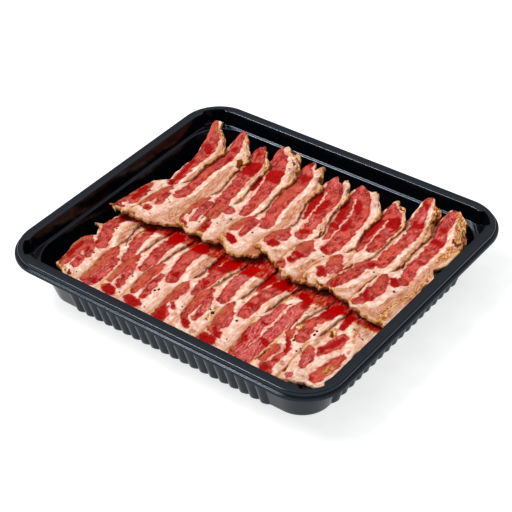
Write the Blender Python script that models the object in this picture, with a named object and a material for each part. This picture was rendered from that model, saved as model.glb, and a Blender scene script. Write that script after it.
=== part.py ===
"""An open black plastic tray of cooked streaky bacon.

The tray is one thermoformed sheet: a cavity fluted outside, a ledge, an upper band with a
pocket in each corner, a flat rim and a lower flange with a skirt. In it lie two
shingled rows of ten rashers, on the layers of rashers below them.
+X runs along the tray's long side, +Z is up, and the origin is at the middle of the base.
"""

import math

import bmesh
import bpy

MM = 0.001

# Tray
RIM_LENGTH = 0.320
RIM_WIDTH = 0.2805
RIM_CORNER = 0.0355
HEIGHT = 0.050
SHEET = 0.0009
RIM_TOP = 0.0088
RISER = 0.0040
FLANGE = 0.0026
SKIRT = 0.0024
BAND = 0.014
BAND_DRAFT = 0.0017
LEDGE = 0.0025
CAVITY_CORNER = 0.047
WALL_FOOT = 0.0227
RIB_PITCH = 0.010
RIB_DEPTH = 0.0031
LONG_RIBS = 20
SHORT_RIBS = 18
POCKET = 0.004
CORNER_ANGLES = (0, 11, 22, 27, 45, 63, 68, 79, 90)
POCKET_FROM, POCKET_TO = 25, 65
STATIONS = 8

# Rashers
THICK = 0.0023
EDGE_THICK = 0.0012
HALF_LAP = 0.005
LAP_CLEARANCE = 0.0007
TILT = 0.0021
CROSS_FLAT = 0.005
CROSS_REACH = 0.013
ACROSS = (0.0, 0.3, 0.7, 1.0)
SEAM_EASE = 0.003
TIP_START = 0.082
TIP_SLANT = 0.016
TIP_SLANT_LENGTH = 0.034
TIP_MIDDLE = 0.18
TIP_NARROWS = 0.64
TIP_LENGTH = 0.022
FRONT_NARROWS = 0.20
FRONT_LENGTH = 0.009
FRONT_SKEW_LENGTH = 0.040
LAP_FADES = (0.085, 0.107)
WALL_GAP = 0.0025
WALL_NOTCH = 0.003

# Heights of the two rows above the table
FRONT_HEIGHT = 0.0325
FRONT_DROPS = 0.0045
DROP_FROM = -0.055
DROP_LENGTH = 0.035
FRONT_RISES = 0.002
FRONT_RISE_FROM = -0.095
BACK_HEIGHT = 0.0335
BACK_RISES = 0.004
BACK_RISE_FROM = 0.030

# Each row from -X to +X. A seam is where two neighbours lap: its X in mm at the row's
# four stations. The ends are each rasher's back Y, the Y of its front end at the -X
# and the +X edge, and the height of its back end, in mm.
BACK_ROW = {
    "name": "rasher_back",
    "stations": (0.108, 0.075, 0.040, -0.018),
    "cross": 0.034,
    "seams": (
        (-138, -122, -123, -129), (-109, -113, -111, -113), (-84, -84, -78, -70),
        (-64, -62, -55, -47), (-32, -36, -30, -27), (-4, -7, 5, 4), (23, 21, 31, 34),
        (61, 56, 64, 58), (83, 83, 83, 82), (109, 106, 108, 109), (138, 138, 140, 140),
    ),
    "ends": (
        (118, -33, -34, 47), (120, -32, -15, 46), (113, -20, -20, 43), (122, -20, -18, 46),
        (117, -14, -19, 45), (113, -6, -19, 44), (113, -19, -21, 44), (112, -16, -16, 44),
        (125, -15, -19, 48), (122, -24, -27, 48),
    ),
}
FRONT_ROW = {
    "name": "rasher_front",
    "stations": (-0.030, -0.050, -0.080, -0.105),
    "cross": -0.064,
    "seams": (
        (-126, -124, -126, -120), (-109, -102, -96, -91), (-81, -80, -75, -70),
        (-57, -57, -51, -47), (-25, -21, -18, -15), (-1, -2, 1, 8), (24, 26, 30, 34),
        (52, 51, 59, 63), (84, 81, 86, 87), (103, 103, 110, 112), (140, 140, 140, 138),
    ),
    "ends": (
        (3, -120, -122, 29), (6, -123, -124, 29), (8, -124, -123, 29), (5, -123, -124, 29),
        (7, -124, -124, 29), (9, -122, -124, 29), (6, -124, -123, 29), (8, -123, -124, 29),
        (4, -124, -123, 29), (3, -123, -120, 29),
    ),
}

# Lower layers
PILE_LAYERS = 5
PILE_LEFT = -0.131
PILE_RIGHT = 0.1425
PILE_BACK = 0.114
PILE_FRONT = -0.122
PILE_CELLS_X = 12
PILE_CELLS_Y = 12
PILE_GAP = 0.0017
PILE_STEP_FROM = 0.012
PILE_STEP_SLOPE = 0.30
PILE_DRAFT = 0.075


def clear_scene():
    for old in list(bpy.data.objects):
        bpy.data.objects.remove(old, do_unlink=True)


def material(name, colour, roughness, metallic=0.0):
    made = bpy.data.materials.new(name)
    made.use_nodes = True
    shader = made.node_tree.nodes["Principled BSDF"]
    shader.inputs["Base Color"].default_value = (*colour, 1.0)
    shader.inputs["Roughness"].default_value = roughness
    shader.inputs["Metallic"].default_value = metallic
    return made


def smoothstep(value):
    value = min(max(value, 0.0), 1.0)
    return value * value * (3.0 - 2.0 * value)


def new_object(name, mesh_data, finish, sharp_degrees=35):
    """The bmesh as an object with outward normals, smooth across its gentle edges."""
    bmesh.ops.recalc_face_normals(mesh_data, faces=mesh_data.faces)
    mesh = bpy.data.meshes.new(name)
    mesh_data.to_mesh(mesh)
    mesh_data.free()
    mesh.shade_smooth()
    mesh.set_sharp_from_angle(angle=math.radians(sharp_degrees))
    mesh.materials.append(finish)
    made = bpy.data.objects.new(name, mesh)
    bpy.context.scene.collection.objects.link(made)
    return made


# --- Tray -------------------------------------------------------------------------


def tray_ring(inset, cavity=False, pocket=0.0, rib=0.0, rib_points=0):
    """One closed outline of the tray, counter-clockwise, as (station, x, y).

    The station orders the points round the tray alike on every outline: each corner
    takes one unit of it and each straight side the next. inset is measured in from
    the rim's outer edge. The cavity has rounder corners than the rim.
    """
    radius = (CAVITY_CORNER if cavity else RIM_CORNER) - inset
    half_x = RIM_LENGTH / 2 - inset
    half_y = RIM_WIDTH / 2 - inset
    points = []
    for corner in range(4):
        turn = math.radians(90 * corner - 90)
        sign_x = 1 if corner in (0, 1) else -1
        sign_y = 1 if corner in (1, 2) else -1
        for degrees in CORNER_ANGLES:
            angle = turn + math.radians(degrees)
            out = radius + (pocket if POCKET_FROM < degrees < POCKET_TO else 0.0)
            points.append((
                2 * corner + degrees / 90,
                sign_x * (half_x - radius) + out * math.cos(angle),
                sign_y * (half_y - radius) + out * math.sin(angle),
            ))
        if rib_points:
            along_y = corner in (0, 2)
            ribs = SHORT_RIBS if along_y else LONG_RIBS
            facing = turn + math.pi / 2
            out_x, out_y = round(math.cos(facing)), round(math.sin(facing))
            reach = half_x if along_y else half_y
            for step in range(ribs * rib_points + 1):
                place = (step / rib_points - ribs / 2) * RIB_PITCH
                bulge = rib * math.sin(math.pi * (step % rib_points) / rib_points) ** 0.7
                points.append((
                    2 * corner + 1.5 + place / RIM_LENGTH,
                    out_x * (reach + bulge) - out_y * place,
                    out_y * (reach + bulge) + out_x * place,
                ))
    return points


def bridge(mesh_data, lower, upper):
    """Faces between two outlines whose points need not be equal in number."""
    first, second = 0, 0
    while first < len(lower) or second < len(upper):
        next_first = lower[(first + 1) % len(lower)][0] + STATIONS * ((first + 1) // len(lower))
        next_second = upper[(second + 1) % len(upper)][0] + STATIONS * ((second + 1) // len(upper))
        a, b = lower[first % len(lower)][1], upper[second % len(upper)][1]
        a_next = lower[(first + 1) % len(lower)][1]
        b_next = upper[(second + 1) % len(upper)][1]
        if abs(next_first - next_second) < 1e-9:
            mesh_data.faces.new((a, a_next, b_next, b))
            first, second = first + 1, second + 1
        elif next_first < next_second:
            mesh_data.faces.new((a, a_next, b))
            first += 1
        else:
            mesh_data.faces.new((a, b_next, b))
            second += 1


def tray_levels():
    """The sheet's outlines from the floor, over the rim and back under to the base.

    Each is its height, its inset and its shape. The flutes stand out from the outside.
    """
    ledge_z = HEIGHT - BAND
    band_foot = RIM_TOP + BAND_DRAFT
    ledge_in = band_foot + LEDGE
    under = SHEET
    shelf = ledge_z - under
    inside = [
        (under, 0.0270, {"cavity": True}),
        (0.0050, WALL_FOOT + 0.0003, {"cavity": True}),
        (ledge_z - 0.0022, ledge_in + 0.0004, {"cavity": True}),
        (ledge_z, ledge_in - 0.0004, {"cavity": True}),
        (ledge_z, band_foot, {"pocket": POCKET}),
        (HEIGHT - 0.0008, RIM_TOP + 0.0001, {"pocket": POCKET}),
        (HEIGHT, RIM_TOP - 0.0008, {"pocket": POCKET}),
    ]
    rim = [
        (HEIGHT, 0.0010, {}),
        (HEIGHT - 0.0007, 0.0001, {}),
        (HEIGHT - RISER + 0.0003, -0.0004, {}),
        (HEIGHT - RISER, -FLANGE + 0.0005, {}),
        (HEIGHT - RISER - 0.0006, -FLANGE, {}),
        (HEIGHT - RISER - SKIRT, -FLANGE - 0.0003, {}),
    ]
    underside = [
        (HEIGHT - RISER - SKIRT, -FLANGE + under, {}),
        (HEIGHT - RISER - under, -FLANGE + 1.2 * under, {}),
        (HEIGHT - RISER - under, 0.0006, {}),
        (HEIGHT - under, 0.0014, {}),
        (HEIGHT - under, RIM_TOP - 1.8 * under, {"pocket": POCKET}),
        (shelf, band_foot - under, {"pocket": POCKET}),
        (shelf, ledge_in - under, {"cavity": True}),
        (ledge_z - 0.0034, ledge_in - 0.8 * under,
         {"cavity": True, "rib": RIB_DEPTH * 0.12, "rib_points": 3}),
        (0.0055, WALL_FOOT - 0.0016, {"cavity": True, "rib": RIB_DEPTH * 0.9, "rib_points": 3}),
        (0.0014, WALL_FOOT, {"cavity": True, "rib": RIB_DEPTH * 0.75, "rib_points": 3}),
        (0.0, 0.0250, {"cavity": True}),
    ]
    return inside + rim + underside


def build_tray(finish):
    mesh_data = bmesh.new()
    rings = []
    for height, inset, shape in tray_levels():
        outline = tray_ring(inset, **shape)
        rings.append([(place, mesh_data.verts.new((x, y, height))) for place, x, y in outline])
    for lower, upper in zip(rings, rings[1:]):
        bridge(mesh_data, lower, upper)
    mesh_data.faces.new([vertex for _, vertex in rings[0]])
    mesh_data.faces.new([vertex for _, vertex in rings[-1]])
    return new_object("tray", mesh_data, finish)


def cavity_half(y):
    """How far from the middle the cavity reaches in X at this Y, just below its ledge."""
    inset = RIM_TOP + BAND_DRAFT + LEDGE
    radius = CAVITY_CORNER - inset
    half_x = RIM_LENGTH / 2 - inset
    past = abs(y) - (RIM_WIDTH / 2 - inset - radius)
    if past <= 0:
        return half_x
    return half_x - radius + math.sqrt(max(radius ** 2 - past ** 2, 0.0))


# --- Rashers ----------------------------------------------------------------------


def bed_wave(x, y):
    """The slow rise and fall that every layer of the bacon shares."""
    return 0.0006 * math.sin(x / 0.013 + 1.2 * math.sin(y / 0.031)) + 0.0005 * math.sin(y / 0.0085)


def row_height(row, y, back_end, tip_height):
    """The height of the middle of a rasher at this Y, without its tilt."""
    if row is FRONT_ROW:
        under_back_row = smoothstep((y - DROP_FROM) / DROP_LENGTH)
        at_wall = max((FRONT_RISE_FROM - y) / 0.030, 0.0)
        return FRONT_HEIGHT - FRONT_DROPS * under_back_row + FRONT_RISES * at_wall ** 2
    over_front_row = smoothstep((BACK_RISE_FROM - y) / DROP_LENGTH)
    up_wall = max((y - TIP_START) / (back_end - TIP_START), 0.0)
    return BACK_HEIGHT + BACK_RISES * over_front_row + (tip_height - BACK_HEIGHT) * up_wall ** 2


def through(stations, values, y):
    """The path through the values at the stations, its corners eased, level beyond them."""
    total = 0.0
    shifts = range(-3, 4)
    for shift in shifts:
        place = min(max(y + shift * SEAM_EASE, stations[-1]), stations[0])
        leg = sum(place < station for station in stations[1:-1])
        upper, lower = stations[leg], stations[leg + 1]
        part = (upper - place) / (upper - lower)
        total += values[leg] + (values[leg + 1] - values[leg]) * part
    return total / len(shifts)


def lap_at(row, y):
    """Half the width of the lap at a seam.

    It closes where the order of the laps swaps over, and at the back ends, which stand
    apart from each other.
    """
    away = smoothstep((abs(y - row["cross"]) - CROSS_FLAT) / (CROSS_REACH - CROSS_FLAT))
    apart = smoothstep((y - LAP_FADES[0]) / (LAP_FADES[1] - LAP_FADES[0]))
    return -LAP_CLEARANCE + (HALF_LAP + LAP_CLEARANCE) * away * (1.0 - apart)


def edges_at(row, number, y):
    """X of a rasher's two edges. Its outer neighbour may be the tray's wall."""
    left = through(row["stations"], row["seams"][number], y) * MM - lap_at(row, y)
    right = through(row["stations"], row["seams"][number + 1], y) * MM + lap_at(row, y)
    limit = cavity_half(y) - WALL_GAP
    return max(left, -limit - WALL_NOTCH * (y > TIP_START)), min(right, limit)


def tilt_at(row, y):
    """+1 where the +X edge lies over its neighbour, -1 where the -X edge does."""
    return 2.0 * smoothstep((y - row["cross"] + CROSS_FLAT) / (2 * CROSS_FLAT)) - 1.0


def sections_of(row, back, front):
    """The Y of each cross-section: close together at the ends and where the laps swap."""
    cross = row["cross"]
    upper = cross + CROSS_REACH
    lower = cross - CROSS_REACH
    places = [back, back - 0.004, back - 0.010, back - 0.020]
    places += [back - 0.020 + (upper - back + 0.020) * part for part in (0.35, 0.70, 1.0)]
    places += [cross + CROSS_FLAT, cross - CROSS_FLAT, lower]
    places += [lower + (front + 0.010 - lower) * part for part in (0.5, 1.0)]
    places += [front + 0.0035, front]
    return places


def build_rasher(row, number, finish):
    back, front_left, front_right, tip_height = (value * MM for value in row["ends"][number])
    front = (front_left + front_right) / 2
    mesh_data = bmesh.new()
    rings = []
    for y in sections_of(row, back, front):
        near_tip = smoothstep(1.0 - (back - y) / TIP_LENGTH)
        near_front = smoothstep(1.0 - (y - front) / FRONT_LENGTH)
        narrowing = 1.0 - TIP_NARROWS * near_tip - FRONT_NARROWS * near_front
        middle = 0.5 + (TIP_MIDDLE - 0.5) * near_tip
        slant = TIP_SLANT * smoothstep(1.0 - (back - y) / TIP_SLANT_LENGTH)
        skew = (front_right - front_left) * max(1.0 - (y - front) / FRONT_SKEW_LENGTH, 0.0)
        top, bottom = [], []
        for part in ACROSS:
            across = middle + (part - 0.5) * narrowing
            place_y = y - slant * max(across - TIP_MIDDLE, 0.0) + skew * (across - 0.5)
            left, right = edges_at(row, number, place_y)
            x = left + (right - left) * across
            z = row_height(row, place_y, back, tip_height) + bed_wave(x, place_y)
            z += TILT * tilt_at(row, place_y) * (2.0 * across - 1.0)
            half = (EDGE_THICK if part in (0.0, 1.0) else THICK) / 2
            top.append(mesh_data.verts.new((x, place_y, z + half)))
            bottom.append(mesh_data.verts.new((x, place_y, z - half)))
        rings.append(top + bottom[::-1])
    for first, second in zip(rings, rings[1:]):
        for i in range(len(first)):
            j = (i + 1) % len(first)
            mesh_data.faces.new((first[i], first[j], second[j], second[i]))
    mesh_data.faces.new(rings[0])
    mesh_data.faces.new(rings[-1])
    return new_object(f"{row['name']}_{number + 1:02d}", mesh_data, finish, 60)


# --- Lower layers -----------------------------------------------------------------


def pile_top(y):
    """The height of the lower layers' upper side, just under the rashers that lie on it."""
    drop = TILT + THICK / 2 + PILE_GAP
    front = row_height(FRONT_ROW, y, 0.0, 0.0) - drop
    back = row_height(BACK_ROW, y, PILE_BACK, BACK_HEIGHT) - drop
    step = front + (y - PILE_STEP_FROM) * PILE_STEP_SLOPE
    return front if y < PILE_STEP_FROM else min(step, back)


def pile_point(along, across, level):
    """A point of the pile's side: along and across run from -1 to 1, level from 0 to 1."""
    y = (PILE_FRONT + PILE_BACK) / 2 + across * (PILE_BACK - PILE_FRONT) / 2
    x = (PILE_LEFT + PILE_RIGHT) / 2 + along * (PILE_RIGHT - PILE_LEFT) / 2
    draft = 1.0 - PILE_DRAFT * (1.0 - level)
    x, y = x * draft, y * draft
    limit = cavity_half(y * 1.03 / draft) * draft - WALL_GAP
    return max(min(x, limit), -limit), y


def build_pile(finish):
    mesh_data = bmesh.new()
    floor = SHEET + 0.0004
    cells_x, cells_y = PILE_CELLS_X, PILE_CELLS_Y
    grid = {}
    for i in range(cells_x + 1):
        for j in range(cells_y + 1):
            x, y = pile_point(2 * i / cells_x - 1, 2 * j / cells_y - 1, 1.0)
            grid[i, j] = mesh_data.verts.new((x, y, pile_top(y) + bed_wave(x, y)))
    for i in range(cells_x):
        for j in range(cells_y):
            mesh_data.faces.new((grid[i, j], grid[i + 1, j], grid[i + 1, j + 1], grid[i, j + 1]))
    border = [(i, 0) for i in range(cells_x)] + [(cells_x, j) for j in range(cells_y)]
    border += [(i, cells_y) for i in range(cells_x, 0, -1)] + [(0, j) for j in range(cells_y, 0, -1)]
    upper = [grid[key] for key in border]
    for layer in range(PILE_LAYERS - 1, -1, -1):
        level = layer / PILE_LAYERS
        lower = []
        for count, (i, j) in enumerate(border):
            x, y = pile_point(2 * i / cells_x - 1, 2 * j / cells_y - 1, level)
            tuck = 1.0 - 0.008 * (1 + math.sin(2.1 * layer + 0.9 * count))
            top = grid[i, j].co.z
            lower.append(mesh_data.verts.new((x * tuck, y * tuck, floor + (top - floor) * level)))
        for k in range(len(border)):
            n = (k + 1) % len(border)
            mesh_data.faces.new((upper[k], upper[n], lower[n], lower[k]))
        upper = lower
    mesh_data.faces.new(upper)
    return new_object("lower_rashers", mesh_data, finish, 60)


def main():
    clear_scene()
    build_tray(material("black_plastic", (0.012, 0.013, 0.015), 0.28))
    bacon = material("bacon", (0.62, 0.25, 0.19), 0.35)
    build_pile(material("bacon_underneath", (0.45, 0.14, 0.10), 0.45))
    for row in (BACK_ROW, FRONT_ROW):
        for number in range(len(row["ends"])):
            build_rasher(row, number, bacon)


main()
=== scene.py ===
"""Looks of the open black plastic tray of cooked streaky bacon.

The tray is a thermoformed sheet with a fluted outside. Twenty rashers lie shingled in two
rows on the layers below them. Each rasher is a fine skin whose meat, fat, rind and crisp
edges are painted from the streaks listed for it, in mm on the tray's plan.
"""

import math
from types import SimpleNamespace

import bpy
import numpy as np
from mathutils import Matrix, Vector


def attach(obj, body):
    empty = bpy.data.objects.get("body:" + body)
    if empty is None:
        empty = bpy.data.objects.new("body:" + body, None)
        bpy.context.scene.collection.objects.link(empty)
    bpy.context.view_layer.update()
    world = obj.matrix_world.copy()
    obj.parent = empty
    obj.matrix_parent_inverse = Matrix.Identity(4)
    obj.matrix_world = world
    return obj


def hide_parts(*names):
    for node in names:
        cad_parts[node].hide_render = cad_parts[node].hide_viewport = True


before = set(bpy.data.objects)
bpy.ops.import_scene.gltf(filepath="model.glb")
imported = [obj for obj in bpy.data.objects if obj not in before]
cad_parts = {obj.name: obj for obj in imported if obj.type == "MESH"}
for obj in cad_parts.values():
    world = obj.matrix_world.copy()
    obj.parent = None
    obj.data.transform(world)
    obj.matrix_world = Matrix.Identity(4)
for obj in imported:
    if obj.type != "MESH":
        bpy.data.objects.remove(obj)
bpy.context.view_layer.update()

MM = 0.001

# Tray, as in the CAD part
RIM_LENGTH = 0.320
RIM_WIDTH = 0.2805
RIM_CORNER = 0.0355
HEIGHT = 0.050
SHEET = 0.0009
RIM_TOP = 0.0088
RISER = 0.0040
FLANGE = 0.0026
SKIRT = 0.0024
BAND = 0.014
BAND_DRAFT = 0.0017
LEDGE = 0.0025
CAVITY_CORNER = 0.047
WALL_FOOT = 0.0227
RIB_PITCH = 0.010
RIB_DEPTH = 0.0031
LONG_RIBS = 20
SHORT_RIBS = 18
POCKET = 0.004
POCKET_FROM, POCKET_TO = 25, 65
RIB_SAMPLES = 8

# Rashers, as in the CAD part
THICK = 0.0023
HALF_LAP = 0.005
LEAST_LAP = 0.0010
SEAM_EASE = 0.003
TILT = 0.0015
CROSS_FLAT = 0.007
CROSS_REACH = 0.012
TIP_START = 0.082
LAP_FADES = (0.085, 0.107)
WALL_GAP = 0.0025
TOP_LANES = 48
UNDER_LANES = 12
SECTIONS = 176
END_RADIUS = 0.0025
# The width that a rasher's ends are drawn for, in mm.
NOMINAL_WIDTH = 35

# Each row from -X to +X. seams: X in mm, at the row's stations, of the lines where two
# neighbours lap. crowns and feet: the Y in mm of each rasher's back and front ends, at
# places across it from 0 at its -X edge to 1. tips: the height of the back ends in mm.
BACK_ROW = {
    "name": "rasher_back",
    "stations": (0.108, 0.075, 0.040, -0.018),
    "cross": 0.034,
    "seams": (
        (-138, -122, -123, -129), (-109, -113, -111, -113), (-84, -84, -78, -70),
        (-64, -62, -55, -47), (-32, -36, -30, -27), (-4, -7, 5, 4), (23, 21, 31, 34),
        (61, 56, 64, 58), (83, 83, 83, 82), (109, 106, 108, 109), (138, 138, 140, 140),
    ),
    "tips": (47, 46, 43, 46, 45, 43, 44, 44, 48, 48),
    "crowns": (
        ((0, 111), (0.04, 117), (0.34, 118), (0.43, 110), (0.54, 111), (0.76, 107), (1, 94)),
        ((0, 106), (0.06, 118), (0.26, 120), (0.42, 115), (0.64, 112), (0.92, 101), (1, 91)),
        ((0, 106), (0.12, 111), (0.40, 113), (0.55, 109), (0.80, 107), (1, 98)),
        ((0, 111), (0.06, 119), (0.30, 121), (0.42, 116), (0.72, 116), (0.90, 111), (1, 99)),
        ((0, 108), (0.20, 117), (0.34, 114), (0.46, 109), (0.60, 112), (0.74, 114), (0.9, 105),
         (1, 96)),
        ((0, 103), (0.26, 113), (0.42, 109), (0.60, 107), (0.72, 111), (0.88, 108), (1, 99)),
        ((0, 104), (0.16, 113), (0.34, 110), (0.52, 109), (0.60, 111), (0.80, 105), (1, 93)),
        ((0, 102), (0.12, 110), (0.30, 111), (0.46, 107), (0.66, 108), (0.86, 104), (1, 90)),
        ((0, 110), (0.10, 123), (0.24, 127), (0.42, 126), (0.56, 121), (0.78, 117), (0.95, 110), (1, 99)),
        ((0, 110), (0.12, 119), (0.26, 121), (0.40, 120), (0.62, 121), (0.78, 115), (0.92, 108), (1, 94)),
    ),
    "feet": (
        ((0, -30), (0.4, -31), (1, -31)), ((0, -30), (0.45, -30), (0.7, -23), (1, -18)),
        ((0, -19), (0.5, -21), (1, -18)), ((0, -17), (0.4, -21), (0.8, -19), (1, -14)),
        ((0, -15), (0.35, -20), (0.65, -23), (1, -17)), ((0, -7), (0.35, -8), (0.7, -15), (1, -19)),
        ((0, -17), (0.3, -21), (1, -21)), ((0, -13), (0.4, -18), (1, -15)),
        ((0, -14), (0.5, -18), (1, -18)), ((0, -24), (0.5, -26), (1, -28)),
    ),
}
FRONT_ROW = {
    "name": "rasher_front",
    "stations": (-0.030, -0.050, -0.080, -0.105),
    "cross": -0.064,
    "seams": (
        (-126, -124, -126, -120), (-109, -102, -96, -91), (-81, -80, -75, -70),
        (-57, -57, -51, -47), (-25, -21, -18, -15), (-1, -2, 1, 8), (24, 26, 30, 34),
        (52, 51, 59, 63), (84, 81, 86, 87), (103, 103, 110, 112), (140, 140, 140, 138),
    ),
    "tips": (29,) * 10,
    "crowns": tuple(((0, y - 3), (0.3, y), (1, y - 5)) for y in (3, 6, 8, 5, 7, 9, 6, 8, 4, 3)),
    "feet": (
        ((0, -113), (0.35, -119), (1, -122)), ((0, -123), (1, -124)), ((0, -124), (1, -123)),
        ((0, -123), (1, -124)), ((0, -124), (1, -124)), ((0, -122), (1, -124)),
        ((0, -124), (1, -123)), ((0, -123), (1, -124)), ((0, -124), (1, -123)),
        ((0, -122), (0.35, -116), (1, -108)),
    ),
}

# Lobes and notches of the outlines: side, Y, reach and width in mm.
SPURS = {
    "rasher_back_01": (("left", -31, 8, 2.2), ("left", 20, 2.0, 4), ("right", 108, -6, 3)),
    "rasher_back_02": (("right", 99, 1.5, 4), ("right", 84, -3, 4)),
    "rasher_back_05": (("right", 114, 3, 3),),
    "rasher_back_09": (("right", 110, 2, 4),),
    "rasher_back_10": (("right", 56, -6.0, 7), ("right", 98, 2, 6)),
    "rasher_front_01": (("left", -50.5, 8, 1.3), ("left", -64, -2, 3)),
    "rasher_front_10": (("right", -96, 1, 4),),
}
# Fine shape, in mm. CURLS is how far the back row's right edges curl up at the back, CRINKLE
# how far they crumple there, and FOOT_CURL how far its feet curl.
CURLS = (1.6, 1.8, 1.4, 1.6, 1.8, 1.5, 1.6, 1.6, 2.6, 3.0)
CRINKLE = 1.8
FOOT_CURL = 0.5
FOOT_LOBES = {"rasher_back": 1.7, "rasher_front": 0.7}
FOOT_SCALLOP = 3.4
EDGE_BULGE = 1.7
EDGE_RADIUS = 1.1
FOLD_RADIUS = 2.4
LAP_LIFT = 0.24
BED_ROLL = 0.22
FAT_PUFF = 0.50
BURN_DENT = 0.5
# How far an edge sinks to the rasher under it: 0 keeps it at mid thickness, 1 lays it flat.
EDGE_SAG = 0.7
# Above this height, in metres, the curls flatten, so that they stay below the rim.
NEAR_TOP = 0.0470

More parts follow.
